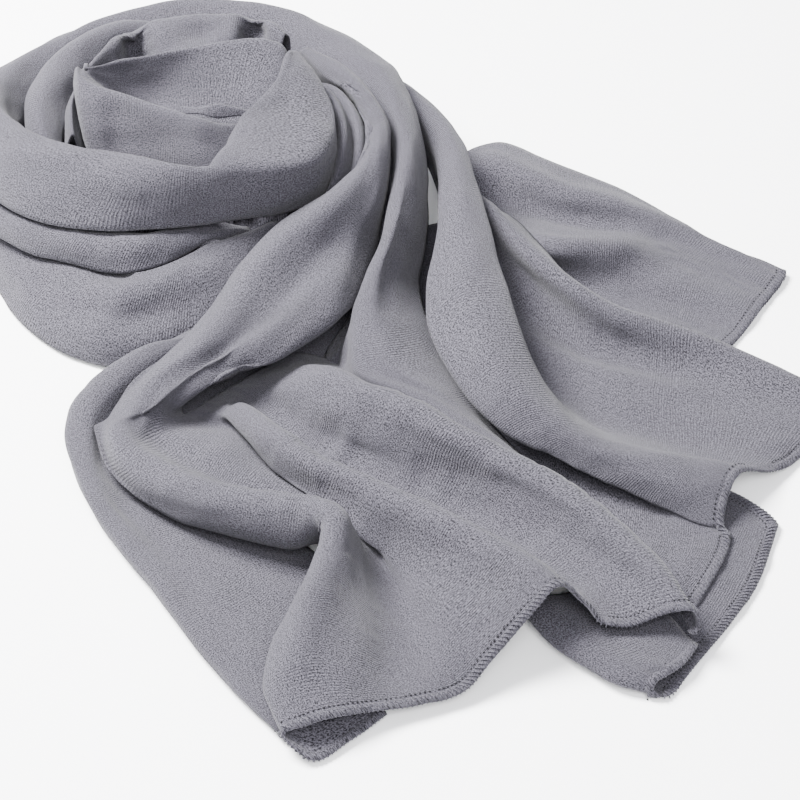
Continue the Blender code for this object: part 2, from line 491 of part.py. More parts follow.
def core_radius(angle):
    """Radius of the core's edge, kept inside the foot of the outer turn."""
    rows = [(row[0], row[3]) for row in OUTER_TURN]
    rows.append((rows[0][0] + 360, rows[0][1]))
    turned = angle if angle >= rows[0][0] else angle + 360
    for (start, first), (end, last) in zip(rows, rows[1:]):
        if start <= turned <= end:
            return between(first, last, (turned - start) / (end - start)) - CORE_INSET
    return rows[0][1] - CORE_INSET


def ceiling(trees, x, y):
    """Height of the lowest cloth above a place on the table, felt a little way around."""
    lowest = 1000.0
    for reach in (0.0, CORE_LOOK * 0.5, CORE_LOOK):
        for k in range(8 if reach else 1):
            spot = Vector((x + reach * math.cos(k * math.pi / 4), y + reach * math.sin(k * math.pi / 4), -1))
            for tree in trees:
                hit = tree.ray_cast(spot, Vector((0, 0, 1)))[0]
                if hit:
                    lowest = min(lowest, hit.z)
    return lowest


def core_mesh(name, trees):
    """The hidden layers as one rounded heap, flat underneath and just under the cloth that shows."""
    mesh = bpy.data.meshes.new(name)
    shape = bmesh.new()
    rings = []
    for ring in range(1, CORE_RINGS + 1):
        points = []
        for k in range(CORE_SPOKES):
            angle = 360 * k / CORE_SPOKES
            radius = core_radius(angle) * ring / CORE_RINGS
            x, y = radius * math.cos(math.radians(angle)), radius * math.sin(math.radians(angle))
            dome = CORE_TOP - CORE_FALL * (ring / CORE_RINGS) ** 2
            height = max(min(ceiling(trees, x, y) - CORE_GAP, dome), CORE_EDGE)
            points.append(shape.verts.new(Vector((x, y, height)) * MM))
        rings.append(points)
    top = shape.verts.new(Vector((0, 0, CORE_TOP)) * MM)
    floor = [shape.verts.new((vertex.co.x, vertex.co.y, 0)) for vertex in rings[-1]]
    for k in range(CORE_SPOKES):
        after = (k + 1) % CORE_SPOKES
        shape.faces.new((top, rings[0][k], rings[0][after]))
        for inner, outer in zip(rings, rings[1:]):
            shape.faces.new((inner[k], outer[k], outer[after], inner[after]))
        shape.faces.new((rings[-1][k], floor[k], floor[after], rings[-1][after]))
    shape.faces.new(list(reversed(floor)))
    shape.normal_update()
    shape.to_mesh(mesh)
    shape.free()
    return mesh


def build_scarf():
    clear_scene()
    collection = bpy.data.collections.new("jersey_hijab")
    bpy.context.scene.collection.children.link(collection)
    trees = []
    for name, table, kind in LAYERS:
        grid = grid_from_folds(table, STEP) if kind == "folds" else grid_from_turn(table, STEP)
        if kind != "free turn":
            lie_over(grid, trees)
        node = add_wall(name, grid, collection)
        trees.append(tree_of(node))
    add_node("heap_core", core_mesh("heap_core", trees), collection)


build_scarf()
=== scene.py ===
"""Dressed scene of a jersey hijab that lies on a table as a loose swirl, its hemmed ends fanned out."""
import math

import bmesh
import bpy
import numpy as np
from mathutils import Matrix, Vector
from mathutils.bvhtree import BVHTree


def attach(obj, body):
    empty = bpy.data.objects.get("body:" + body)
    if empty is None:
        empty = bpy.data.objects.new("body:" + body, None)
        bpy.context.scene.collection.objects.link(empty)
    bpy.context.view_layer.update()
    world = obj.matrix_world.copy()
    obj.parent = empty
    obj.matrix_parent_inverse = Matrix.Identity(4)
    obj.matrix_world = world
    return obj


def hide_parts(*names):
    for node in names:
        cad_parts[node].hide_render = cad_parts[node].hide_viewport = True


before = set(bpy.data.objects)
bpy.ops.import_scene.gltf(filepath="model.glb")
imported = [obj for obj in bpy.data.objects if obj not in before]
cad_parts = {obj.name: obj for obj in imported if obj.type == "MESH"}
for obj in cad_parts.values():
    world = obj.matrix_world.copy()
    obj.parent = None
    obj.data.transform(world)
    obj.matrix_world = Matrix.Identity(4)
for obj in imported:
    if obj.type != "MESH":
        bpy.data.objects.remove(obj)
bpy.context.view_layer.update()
bpy.ops.object.select_all(action="DESELECT")
MM = 0.001

# ---------------------------------------------------------------- camera
# The picture is taken with a long lens from the front, looking down on the table at 42 degrees.
camera_data = bpy.data.cameras.new("Camera")
camera_data.lens = 110.0
camera_data.sensor_width = 36.0
camera = bpy.data.objects.new("Camera", camera_data)
bpy.context.scene.collection.objects.link(camera)
CAMERA_TARGET = Vector((0.115, -0.150, 0.0))
CAMERA_HEIGHT_ANGLE = math.radians(42)
CAMERA_DISTANCE = 1.42
camera.location = CAMERA_TARGET + CAMERA_DISTANCE * Vector(
    (0.0, -math.cos(CAMERA_HEIGHT_ANGLE), math.sin(CAMERA_HEIGHT_ANGLE)))
camera.rotation_euler = (math.pi / 2 - CAMERA_HEIGHT_ANGLE, 0.0, 0.0)
bpy.context.scene.camera = camera

# ---------------------------------------------------------------- table top and studio light
# A white sweep of paper, lit by one wide soft box above and to the left, and by the pale room.


def linear(hex_colour):
    """Linear colour of an sRGB hex value."""
    parts = [int(hex_colour[i:i + 2], 16) / 255 for i in (1, 3, 5)]
    return [p / 12.92 if p <= 0.04045 else ((p + 0.055) / 1.055) ** 2.4 for p in parts] + [1.0]


def add(tree, kind, settings=None, **inputs):
    """Adds a node, sets its properties, and sets or links its inputs by name."""
    node = tree.nodes.new(kind)
    for key, value in (settings or {}).items():
        setattr(node, key, value)
    for key, value in inputs.items():
        socket = node.inputs[int(key[1:])] if key[0] == "i" and key[1:].isdigit() else node.inputs[key.replace("_", " ")]
        if isinstance(value, bpy.types.NodeSocket):
            tree.links.new(value, socket)
        else:
            socket.default_value = value
    return node


PAPER_SIZE = 6.0
PAPER_WHITE = "#FCFCFD"
bpy.ops.mesh.primitive_grid_add(x_subdivisions=24, y_subdivisions=24, size=PAPER_SIZE, location=(0.1, 0.4, -0.0003))
paper = bpy.context.object
paper.name = "table_top"
bpy.ops.object.transform_apply(location=True, rotation=True, scale=True)
paper_material = bpy.data.materials.new("matte white paper")
paper_material.use_nodes = True
paper_shader = paper_material.node_tree.nodes["Principled BSDF"]
paper_shader.inputs["Base Color"].default_value = linear(PAPER_WHITE)
paper_shader.inputs["Roughness"].default_value = 0.9
paper_shader.inputs["Specular IOR Level"].default_value = 0.1
paper.data.materials.append(paper_material)
bpy.ops.object.select_all(action="DESELECT")


def soft_box(name, place, aim, width, height, power):
    """A wide soft box that faces the point it is aimed at."""
    lamp = bpy.data.lights.new(name, "AREA")
    lamp.shape = "RECTANGLE"
    lamp.size = width
    lamp.size_y = height
    lamp.energy = power
    holder = bpy.data.objects.new(name, lamp)
    holder.location = place
    holder.rotation_euler = (Vector(aim) - Vector(place)).to_track_quat("-Z", "Y").to_euler()
    bpy.context.scene.collection.objects.link(holder)


soft_box("box_above_left", (-0.85, 0.3, 1.5), (0.1, -0.1, 0.0), 0.8, 0.8, 285.0)
soft_box("box_front", (0.35, -1.5, 1.6), (0.1, -0.1, 0.0), 1.2, 1.0, 62.0)
room = bpy.context.scene.world or bpy.data.worlds.new("Room")
bpy.context.scene.world = room
room.use_nodes = True
room_light = room.node_tree.nodes.get("Background") or room.node_tree.nodes.new("ShaderNodeBackground")
room_light.inputs["Color"].default_value = linear("#F7F8FF")
room_light.inputs["Strength"].default_value = 1.1

# ---------------------------------------------------------------- the panel's jersey
# One rectangle of brushed crepe jersey, knitted in mid grey with a slight violet cast.  Its face is
# heathered and grained, with fine crepe ribs across its length, and the nap scatters light softly.


def jersey(name, dark, light, rib_depth):
    """Material of the knitted cloth; u and v of the piece's UV map are metres on the cloth."""
    material = bpy.data.materials.new(name)
    material.use_nodes = True
    tree = material.node_tree
    shader = tree.nodes["Principled BSDF"]
    shader.inputs["Roughness"].default_value = 0.92
    shader.inputs["Specular IOR Level"].default_value = 0.15
    shader.inputs["Sheen Weight"].default_value = 0.08
    shader.inputs["Sheen Roughness"].default_value = 0.5
    place = add(tree, "ShaderNodeUVMap", {"uv_map": "cloth"})
    grain = add(tree, "ShaderNodeTexNoise", None, Vector=place.outputs[0], Scale=GRAIN, Detail=1.5, Roughness=0.7)
    heather = add(tree, "ShaderNodeTexNoise", None, Vector=place.outputs[0], Scale=HEATHER, Detail=2.0, Roughness=0.6)
    both = add(tree, "ShaderNodeMath", {"operation": "MULTIPLY_ADD"}, i0=heather.outputs["Fac"], i1=0.16,
               i2=grain.outputs["Fac"])
    tone = add(tree, "ShaderNodeValToRGB", None, Fac=both.outputs[0])
    tone.color_ramp.elements[0].position = 0.46
    tone.color_ramp.elements[0].color = linear(dark)
    tone.color_ramp.elements[1].position = 0.68
    tone.color_ramp.elements[1].color = linear(light)
    tree.links.new(tone.outputs["Color"], shader.inputs["Base Color"])
    ribs = add(tree, "ShaderNodeTexWave", {"bands_direction": "X"}, Vector=place.outputs[0], Scale=RIBS,
               Distortion=3.5, Detail=2.0)
    ribs.inputs["Detail Scale"].default_value = 0.5
    patches = add(tree, "ShaderNodeTexNoise", None, Vector=place.outputs[0], Scale=22.0, Detail=1.0)
    where = add(tree, "ShaderNodeMapRange", None, Value=patches.outputs["Fac"])
    where.inputs["From Min"].default_value = 0.4
    where.inputs["From Max"].default_value = 0.62
    rib_height = add(tree, "ShaderNodeMath", {"operation": "MULTIPLY"}, i0=ribs.outputs["Fac"], i1=where.outputs[0])
    relief = add(tree, "ShaderNodeMath", {"operation": "MULTIPLY_ADD"}, i0=rib_height.outputs[0], i1=rib_depth,
                 i2=grain.outputs["Fac"])
    bump = add(tree, "ShaderNodeBump", None, Strength=0.8, Distance=0.0006, Height=relief.outputs[0])
    tree.links.new(bump.outputs["Normal"], shader.inputs["Normal"])
    return material


GRAIN = 1500.0          # noise cells to a metre: the heathered yarns
HEATHER = 420.0
RIBS = 195.0            # crepe ribs, about 1.6 mm apart
knit = jersey("brushed crepe jersey", "#111014", "#4B4951", 0.6)


def through(points, knots, places):
    """Smooth curve through points, given at knots along their first axis, at each of the places."""
    knots, places = np.asarray(knots), np.asarray(places)
    shape = (-1,) + (1,) * (points.ndim - 1)
    spans = np.diff(knots).reshape(shape)
    rise = np.diff(points, axis=0) / spans
    slopes = np.concatenate([rise[:1], rise[:-1] + (rise[1:] - rise[:-1]) * (spans[:-1] / (spans[:-1] + spans[1:])),
                             rise[-1:]])
    i = np.clip(np.searchsorted(knots, places, side="right") - 1, 0, len(knots) - 2)
    span = spans[i]
    t = (places - knots[i]).reshape(shape) / span
    return (points[i] * (2 * t ** 3 - 3 * t ** 2 + 1) + slopes[i] * span * (t ** 3 - 2 * t ** 2 + t)
            + points[i + 1] * (3 * t ** 2 - 2 * t ** 3) + slopes[i + 1] * span * (t ** 3 - t ** 2))


def mean_knots(points):
    """Distance to each point along the first axis, averaged over the second."""
    spans = np.linalg.norm(np.diff(points, axis=0), axis=2).mean(axis=1)
    return np.concatenate([[0.0], np.cumsum(np.maximum(spans, 0.5))])


def spaced(knots, step):
    """Places at even steps between each knot and the next."""
    places = [knots[0]]
    for start, end in zip(knots, knots[1:]):
        count = max(1, round((end - start) / step))
        places += [start + (end - start) * k / count for k in range(1, count + 1)]
    return np.array(places)


def finer_along(points, step):
    """The stations of a stretch at about one step, and the place of each in the table."""
    turned = np.swapaxes(points, 0, 1)
    knots = mean_knots(turned)
    places = spaced(knots, step)
    return np.swapaxes(through(turned, knots, places), 0, 1), np.interp(places, knots, np.arange(len(knots)))


def finer_across(points, step):
    """The lines of a stretch at about one step, and the place of each in the table."""
    knots = mean_knots(points)
    places = spaced(knots, step)
    return through(points, knots, places), np.interp(places, knots, np.arange(len(knots)))


def folds(table):
    """Points of a stretch given by its fold lines, one line to a row."""
    return np.array([row[1:] for row in table], float)


def turn(table, lip=False):
    """Points of a turn of the swirl given by its upright sections, one section to a column."""
    columns = []
    up = np.array((0.0, 0.0, 1.0))
    for angle, rim_r, rim_z, foot_r, foot_z, inside_r, inside_z, belly in table:
        out = np.array((math.cos(math.radians(angle)), math.sin(math.radians(angle)), 0.0))
        rim, foot, inside = out * rim_r + up * rim_z, out * foot_r + up * foot_z, out * inside_r + up * inside_z
        push = out * (rim_z - foot_z) + up * (foot_r - rim_r)
        push *= belly / np.linalg.norm(push)
        section = [inside, inside + (rim - inside) * 0.6 + up * belly * 0.5, rim,
                   rim + (foot - rim) * 0.3 + push, rim + (foot - rim) * 0.7 + push, foot]
        if lip:
            section.insert(0, inside - up * lip[1] - out * lip[0])
        columns.append(section)
    return np.swapaxes(np.array(columns), 0, 1)


WALL = 2.0              # of the CAD wall, mm
CLEARANCE = 1.6
REACH = 5.0
BLOCKED = 10.0
FORM_STEP = 12.5        # facets of the CAD form, mm
FINE_STEP = 2.6         # facets of the dressed cloth, mm
CLOTH = 0.9             # thickness of the jersey, mm
SETTLE = 3.5            # most that a fine point is lifted off the cloth beneath, mm
UP, DOWN = Vector((0, 0, 1)), Vector((0, 0, -1))
laid = []               # search trees of the CAD walls beneath
dressed = []            # search trees of the dressed cloth beneath


def cad_tree(node):
    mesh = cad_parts[node].data
    return BVHTree.FromPolygons([v.co / MM for v in mesh.vertices], [tuple(p.vertices) for p in mesh.polygons])


def lie_over(points):
    """Lifts the points of a stretch off the stretches beneath, as in the CAD."""
    around = [(0.0, 0.0)] + [(REACH * math.cos(k * math.pi / 3), REACH * math.sin(k * math.pi / 3)) for k in range(6)]
    for row in points:
        for point in row:
            point[2] = max(point[2], WALL + 0.4)
            x, y, z = point
            needed = z
            for tree in laid:
                for dx, dy in around:
                    spot = Vector((x + dx, y + dy, z))
                    above, above_normal, _, _ = tree.ray_cast(spot, UP)
                    below = tree.ray_cast(spot, DOWN)[0]
                    if above and above_normal.z > 0 and above.z - z < BLOCKED:
                        needed = max(needed, above.z + WALL + CLEARANCE)
                    elif below and not (above and above_normal.z > 0):
                        needed = max(needed, below.z + WALL + CLEARANCE)
            if needed - z < BLOCKED:
                point[2] = needed
    return points


def blurred(field, rounds):
    """A grid of heights smoothed over its neighbours."""
    for _ in range(rounds):
        padded = np.pad(field, 1, mode="edge")
        field = (padded[:-2, 1:-1] + padded[2:, 1:-1] + padded[1:-1, :-2] + padded[1:-1, 2:] + 2 * field) / 6
    return field


def settle(points):
    """Lifts fine points that dip into the dressed cloth beneath."""
    lift = np.zeros(points.shape[:2])
    for i, row in enumerate(points):
        for j, (x, y, z) in enumerate(row):
            for tree in dressed:
                hit, normal, _, _ = tree.ray_cast(Vector((x, y, z + SETTLE)), DOWN, 2 * SETTLE)
                if hit and normal.z > 0:
                    needed = hit.z + CLOTH + 0.5 - z
                    if lift[i, j] < needed < SETTLE:
                        lift[i, j] = needed
    spread = lift.copy()
    for _ in range(2):
        padded = np.pad(spread, 1, mode="edge")
        spread = np.max([padded[1:-1, 1:-1], padded[:-2, 1:-1], padded[2:, 1:-1], padded[1:-1, :-2], padded[1:-1, 2:]],
                        axis=0)
    points[..., 2] += np.maximum(blurred(spread, 4), lift)


def normals_of(points):
    """Unit normals over a grid of points, on the side that mostly faces up."""
    normal = np.cross(np.gradient(points, axis=1), np.gradient(points, axis=0))
    area = np.linalg.norm(normal, axis=2, keepdims=True)
    side = 1.0 if normal[..., 2].sum() >= 0 else -1.0
    return side * normal / np.maximum(area, 1e-9)


def press_creases(points, creases):
    """Soft ridges (+) and troughs (-) along paths on the cloth, given in plan: x and y in mm."""
    flat = points.reshape(-1, 3).copy()
    for name, height, width, *path in creases:
        path = np.array(path, float)
        steps = np.linspace(0, len(path) - 1, 10 * (len(path) - 1) + 1)
        track = through(path[:, None, :], np.arange(len(path)), steps)[:, 0]
        spine = np.array([flat[np.argmin(np.hypot(*(flat[:, :2] - spot).T) - flat[:, 2] * 0.15)] for spot in track])
        fade = np.sin(np.pi * np.linspace(0.06, 0.94, len(spine))) ** 0.6
        away = np.linalg.norm(points[:, :, None, :] - spine, axis=3)
        nearest = away.argmin(axis=2)
        reach = away.min(axis=2) / width
        points += normals_of(points) * (height * fade[nearest] * np.exp(-reach ** 2))[..., None]


def unevenness(points, seed, height=0.35):
    """Faint waves left by handling, longer along the cloth than across it."""
    draw = np.random.RandomState(seed)
    along = mean_knots(np.swapaxes(points, 0, 1))[None, :]
    across = mean_knots(points)[:, None]
    waves = 0
    for _ in range(14):
        length, width, phase = draw.uniform(28, 90), draw.uniform(12, 40), draw.uniform(0, 2 * math.pi)
        waves = waves + np.sin(2 * math.pi * (along / length + draw.choice([-1, 1]) * across / width) + phase)
    points += normals_of(points) * (height * waves / 3.7)[..., None]


def cloth_piece(name, points, nodes, keep=None, material=knit, settled=True):
    """Thin cloth through a fine grid of points, with its UV map in metres on the cloth."""
    if settled:
        settle(points)
    points[..., 2] = np.maximum(points[..., 2], CLOTH + 0.2)
    rows, columns = points.shape[:2]
    along = mean_knots(np.swapaxes(points, 0, 1)) * MM
    across = mean_knots(points) * MM
    quads = [(i, j) for i in range(rows - 1) for j in range(columns - 1) if keep is None or (keep[i, j] and keep[i + 1, j]
             and keep[i, j + 1] and keep[i + 1, j + 1])]
    faces = [(i * columns + j, i * columns + j + 1, (i + 1) * columns + j + 1, (i + 1) * columns + j) for i, j in quads]
    mesh = bpy.data.meshes.new(name)
    mesh.from_pydata([tuple(p) for p in (points * MM).reshape(-1, 3)], [], faces)
    cloth_uv = mesh.uv_layers.new(name="cloth")
    for loop in mesh.loops:
        i, j = divmod(loop.vertex_index, columns)
        cloth_uv.data[loop.index].uv = (along[j], across[i])
    if sum(p.normal.z * p.area for p in mesh.polygons) < 0:
        mesh.flip_normals()
    shape = bmesh.new()
    shape.from_mesh(mesh)
    bmesh.ops.delete(shape, geom=[v for v in shape.verts if not v.link_faces], context="VERTS")
    shape.to_mesh(mesh)
    shape.free()
    mesh.shade_smooth()
    dressed.append(BVHTree.FromPolygons([v.co / MM for v in mesh.vertices], [tuple(p.vertices) for p in mesh.polygons]))
    piece = bpy.data.objects.new(name, mesh)
    bpy.context.scene.collection.objects.link(piece)
    solid = piece.modifiers.new("cloth thickness", "SOLIDIFY")
    solid.thickness = CLOTH * MM
    solid.offset = -1.0
    piece.data.materials.append(material)
    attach(piece, "root")
    if nodes:
        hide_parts(*nodes)
    return piece


def dress(name, table_points, node, seed, creases=(), lift=True, step=FINE_STEP, height=0.35, settled=True):
    """One stretch: its form laid over those beneath, its creases pressed in, and its cloth piece."""
    form, _ = finer_along(table_points, FORM_STEP)
    if lift:
        lie_over(form)
    points, _ = finer_along(form, step)
    points, _ = finer_across(points, step)
    press_creases(points, creases)
    unevenness(points, seed, height)
    piece = cloth_piece(name, points, [node], settled=lift and settled)
    laid.append(cad_tree(node))
    return piece, points


# ---------------------------------------------------------------- overlocked edges
# The panel is overlocked on all its edges: a thick, rounded edge 5 mm wide with slanted loops of
# thread over it, and on its inner side the row of needle stitches, sunk into the cloth and coloured
# near black as painted shade of their needle holes.

HEM_WIDTH = 5.0
HEM_THICKNESS = 2.1
STITCH = 2.6
NEEDLE_LINE = 5.5       # from the edge
thread = jersey("overlock thread", "#23222A", "#4C4A52", 0.0)
# needle stitches coloured near black: painted shade of the needle holes they sit in
needle_hole_painted_shade = jersey("painted shade of needle holes", "#0E0E11", "#1D1C21", 0.0)


def tube(mesh, centres, radii, spread, rise, sides):
    """Adds a closed tube to a mesh: an oval round each centre, spread one way and rise the other."""
    rings = []
    for centre, radius, wide, high in zip(centres, radii, spread, rise):
        turns = [2 * math.pi * k / sides for k in range(sides)]
        rings.append([mesh.verts.new((centre + wide * math.cos(a) * radius[0] + high * math.sin(a) * radius[1]) * MM)
                      for a in turns])
    for near, far in zip(rings, rings[1:]):
        for k in range(sides):
            mesh.faces.new((near[k], near[(k + 1) % sides], far[(k + 1) % sides], far[k]))
    mesh.faces.new(rings[0][::-1])
    mesh.faces.new(rings[-1])


def sewn(name, mesh, material):
    """A piece made of a mesh of threads."""
    bmesh.ops.recalc_face_normals(mesh, faces=mesh.faces)
    wrap = mesh.loops.layers.uv.new("cloth")
    for face in mesh.faces:
        face.smooth = True
        for loop in face.loops:
            loop[wrap].uv = (loop.vert.co.x + loop.vert.co.z, loop.vert.co.y - loop.vert.co.z)
    data = bpy.data.meshes.new(name)
    mesh.to_mesh(data)
    mesh.free()
    data.materials.append(material)
    piece = bpy.data.objects.new(name, data)
    bpy.context.scene.collection.objects.link(piece)
    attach(piece, "root")
    return piece


def overlock(name, edge, inner, up_side=1.0):
    """Overlocked edge along a row of points, with the cloth on the side of the inner row."""
    spans = np.concatenate([[0.0], np.cumsum(np.linalg.norm(np.diff(edge, axis=0), axis=1))])
    count = int(spans[-1] / STITCH)
    marks = np.linspace(0.0, spans[-1], count + 1)
    edge, inner = (np.stack([np.interp(marks, spans, row[:, k]) for k in range(3)], axis=1) for row in (edge, inner))
    along = np.gradient(edge, axis=0)
    along /= np.linalg.norm(along, axis=1, keepdims=True)
    inward = inner - edge
    inward -= along * (inward * along).sum(axis=1, keepdims=True)
    inward /= np.linalg.norm(inward, axis=1, keepdims=True)
    normal = np.cross(along, inward)
    normal *= up_side * (1.0 if normal[:, 2].sum() > 0 else -1.0)
    middle = edge + inward * (HEM_WIDTH / 2 - 0.7) - normal * CLOTH / 2
    middle[:, 2] = np.maximum(middle[:, 2], HEM_THICKNESS / 2 + 0.05)
    band, loops, painted_shade_stitches = bmesh.new(), bmesh.new(), bmesh.new()
    oval = [(HEM_WIDTH / 2, HEM_THICKNESS / 2)] * len(middle)
    tube(band, middle, oval, inward, normal, 10)
    for k in range(count - 1):
        place = [(2.2, 0.95, 0.0), (0.9, 1.5, 0.3), (-1.0, 1.5, 0.75), (-2.5, 0.5, 1.15), (-2.2, -0.9, 1.35)]
        step = along[k] * STITCH
        centres = [middle[k] + inward[k] * a + normal[k] * b + step * c for a, b, c in place]
        for centre in centres:
            centre[2] = max(centre[2], 0.5)
        tube(loops, centres, [(0.42, 0.28)] * len(centres), [along[k]] * len(centres),
             [normal[k], normal[k], normal[k], -inward[k], -inward[k]], 5)
        # needle stitches: short dashes coloured as the painted shade of their holes
        hole = edge[k] + inward[k] * NEEDLE_LINE + normal[k] * 0.1
        hole[2] = max(hole[2], 0.5)
        ends = [hole + step * 0.2, hole + step * 0.35, hole + step * 0.6, hole + step * 0.75]
        tube(painted_shade_stitches, ends, [(0.15, 0.1), (0.5, 0.3), (0.5, 0.3), (0.15, 0.1)], [inward[k]] * 4, [normal[k]] * 4, 6)
    return [sewn(name + "_edge", band, knit), sewn(name + "_loops", loops, thread),
            sewn(name + "_needle_stitches_in_painted_shade", painted_shade_stitches, needle_hole_painted_shade)]


# ---------------------------------------------------------------- lower front ply
# The last ply under the front end: it lies flat on the table and shows at the lower right.
FRONT_UNDER = (
    ("top under crest", (221, -295, 10), (241, -313, 10), (257, -332, 10), (265, -344, 9), (269, -349, 9)),
    ("top slope", (210, -311, 11), (226, -329, 11), (242, -349, 11), (255, -360, 10), (261, -362, 9)),
    ("top near", (199, -318, 13), (213, -338, 13), (229, -357, 12), (245, -368, 11), (253, -369, 9)),
    ("roll top", (186, -318, 14), (201, -344, 13), (219, -361, 12), (238, -371, 11), (246, -374, 9)),
    ("roll edge", (176, -317, 8), (192, -344, 7), (211, -362, 6), (230, -374, 6), (244, -377, 5)),
    ("roll bottom", (184, -313, 3), (201, -341, 3), (219, -360, 3), (238, -374, 3), (249, -379, 3)),
    ("sheet left", (211, -305, 3), (230, -326, 3), (248, -344, 3), (260, -359, 3), (267, -358, 3)),
    ("sheet middle", (234, -286, 3), (251, -305, 3), (269, -319, 3), (281, -331, 3), (287, -330, 3)),
    ("sheet right", (257, -260, 3), (273, -271, 3), (289, -282, 3), (300, -294, 3), (305, -301, 3)),
    ("side edge", (277, -220, 3), (291, -225, 3), (307, -236, 3), (318, -248, 3), (322, -255, 3)),
)
FRONT_UNDER_CREASES = (
    ("soft ridge", 1.6, 10, (300, -240), (292, -267), (281, -297), (268, -326), (256, -355)),
)
front_under, edge_points = dress("front_under_ply", folds(FRONT_UNDER), "front_under", 11, FRONT_UNDER_CREASES)
front_under_hem = overlock("front_under_hem", edge_points[:, -1], edge_points[:, -3])
front_under_side = overlock("front_under_side", edge_points[-1], edge_points[-3])


# ---------------------------------------------------------------- back end
# The end that fans out behind, in two soft ridges.
BACK_TAIL = (
    ("far edge", (150, 78, 6), (180, 84, 14), (218, 62, 12), (255, 42, 9), (297, 5, 5), (352, -35, 4)),
    ("far ridge", (150, 50, 10), (179, 51, 18), (216, 31, 17), (253, 18, 14), (296, -1, 8), (350, -42, 4)),
    ("far trough", (152, 32, 8), (181, 29, 9), (216, 15, 8), (253, 6, 9), (289, -9, 7), (344, -52, 4)),
    ("near ridge", (154, -6, 8), (182, -23, 16), (213, -34, 22), (243, -32, 19), (280, -27, 10), (335, -66, 4)),
    ("near trough", (154, -23, 6), (186, -35, 8), (216, -46, 7), (244, -52, 8), (273, -56, 7), (324, -85, 4)),
    ("near edge", (158, -50, 5), (188, -65, 4), (217, -81, 4), (240, -92, 4), (264, -99, 4), (305, -112, 4)),
)
BACK_CREASES = (
    ("ridge A", 3.5, 10, (160, 78), (167, 71), (176, 56), (197, 38), (217, 27), (238, 19), (265, 12), (290, 3)),
    ("ridge B", 3.5, 10, (174, -2), (194, -21), (214, -34), (235, -33), (250, -26), (266, -3)),
    ("trough A", -3.5, 8, (172, 41), (191, 24), (215, 11), (246, 4), (271, 0), (300, -12)),
    ("trough B", -3.0, 9, (183, -30), (201, -42), (225, -50), (256, -44), (288, -30)),
    ("soft trough", -3.5, 12, (250, -12), (280, -20), (310, -40), (330, -55)),
    ("near slope", -6.0, 14, (200, -48), (224, -62), (261, -64), (290, -74), (309, -92)),
)
back_end, edge_points = dress("back_end", folds(BACK_TAIL), "back_tail", 12, BACK_CREASES)
back_hem = overlock("back_hem", edge_points[:, -1], edge_points[:, -3])
# the lower ply shows as a second hem, a little short of the upper one, under its edge
LOWER_PLY = (-3.0, -4.5)
PLY_WIDTH = 18
lower_edge = edge_points[:, -PLY_WIDTH:] + np.array((*LOWER_PLY, 0.0))
lower_edge[..., 2] = 1.2
lower_ply = cloth_piece("back_lower_ply", lower_edge, [], settled=False)
lower_hem = overlock("back_lower_hem", lower_edge[:, -1], lower_edge[:, -3])


# ---------------------------------------------------------------- middle end
# The broad middle end, with the standing band along its near side.
MIDDLE_TAIL = (
    ("far foot", (113, 126, 24), (130, 97, 22), (155, 52, 22), (162, 16, 24), (177, -2, 26), (198, -30, 24),
     (223, -62, 12), (248, -83, 7), (277, -97, 6), (316, -117, 5), (348, -141, 4), (379, -156, 4)),
    ("far ridge", (113, 126, 27), (130, 96, 27), (154, 52, 27), (160, 9, 35), (170, -16, 37), (193, -54, 33),
     (221, -85, 28), (246, -99, 23), (275, -108, 18), (314, -122, 11), (348, -140, 7), (380, -154, 4)),
    ("far trough", (112, 126, 30), (129, 96, 31), (153, 51, 31), (159, 0, 32), (171, -35, 20), (196, -65, 17),
     (221, -96, 14), (248, -114, 11), (274, -127, 9), (309, -145, 7), (343, -160, 6), (371, -168, 4)),
    ("plain", (112, 125, 32), (129, 96, 35), (153, 51, 35), (160, -10, 32), (175, -67, 14), (194, -113, 12),
     (217, -129, 8), (242, -149, 7), (269, -164, 6), (302, -178, 6), (331, -187, 6), (352, -188, 4)),
    ("band foot", (112, 125, 35), (128, 96, 39), (152, 51, 40), (162, -15, 38), (178, -106, 18), (201, -150, 10),
     (221, -172, 8), (244, -190, 8), (268, -200, 8), (293, -211, 10), (313, -217, 10), (330, -212, 5)),
    ("band far edge", (111, 125, 38), (128, 96, 44), (150, 51, 48), (162, -12, 50), (178, -112, 46), (194, -177, 36),
     (212, -206, 30), (236, -216, 26), (261, -222, 24), (284, -225, 22), (298, -228, 21), (303, -231, 20)),
    ("band crown", (106, 122, 42), (122, 93, 48), (143, 49, 52), (151, -28, 56), (153, -120, 50), (169, -192, 42),
     (192, -213, 33), (220, -225, 27), (247, -236, 23), (270, -243, 20), (286, -245, 18), (294, -247, 16)),
    ("band near edge", (100, 119, 39), (115, 90, 44), (135, 47, 46), (138, -36, 46), (131, -130, 38), (159, -193, 30),
     (182, -213, 23), (210, -227, 18), (237, -240, 14), (263, -252, 11), (281, -259, 9), (291, -260, 8)),
    ("tuck", (98, 118, 34), (113, 89, 37), (133, 46, 38), (143, -36, 34), (145, -118, 24), (171, -168, 18),
     (197, -194, 12), (223, -214, 8), (246, -234, 6), (267, -254, 5), (285, -264, 6), (294, -267, 7)),
    ("panel below", (97, 117, 28), (112, 88, 28), (134, 45, 27), (147, -36, 20), (152, -112, 8), (174, -178, 5),
     (197, -216, 4), (222, -248, 5), (242, -270, 6), (260, -284, 6), (275, -290, 5), (286, -291, 4)),
    ("panel near", (98, 116, 24), (112, 87, 24), (133, 43, 23), (147, -40, 15), (152, -118, 6), (170, -188, 4),
     (190, -228, 5), (212, -262, 7), (228, -288, 8), (243, -306, 7), (257, -316, 6), (269, -323, 5)),
)
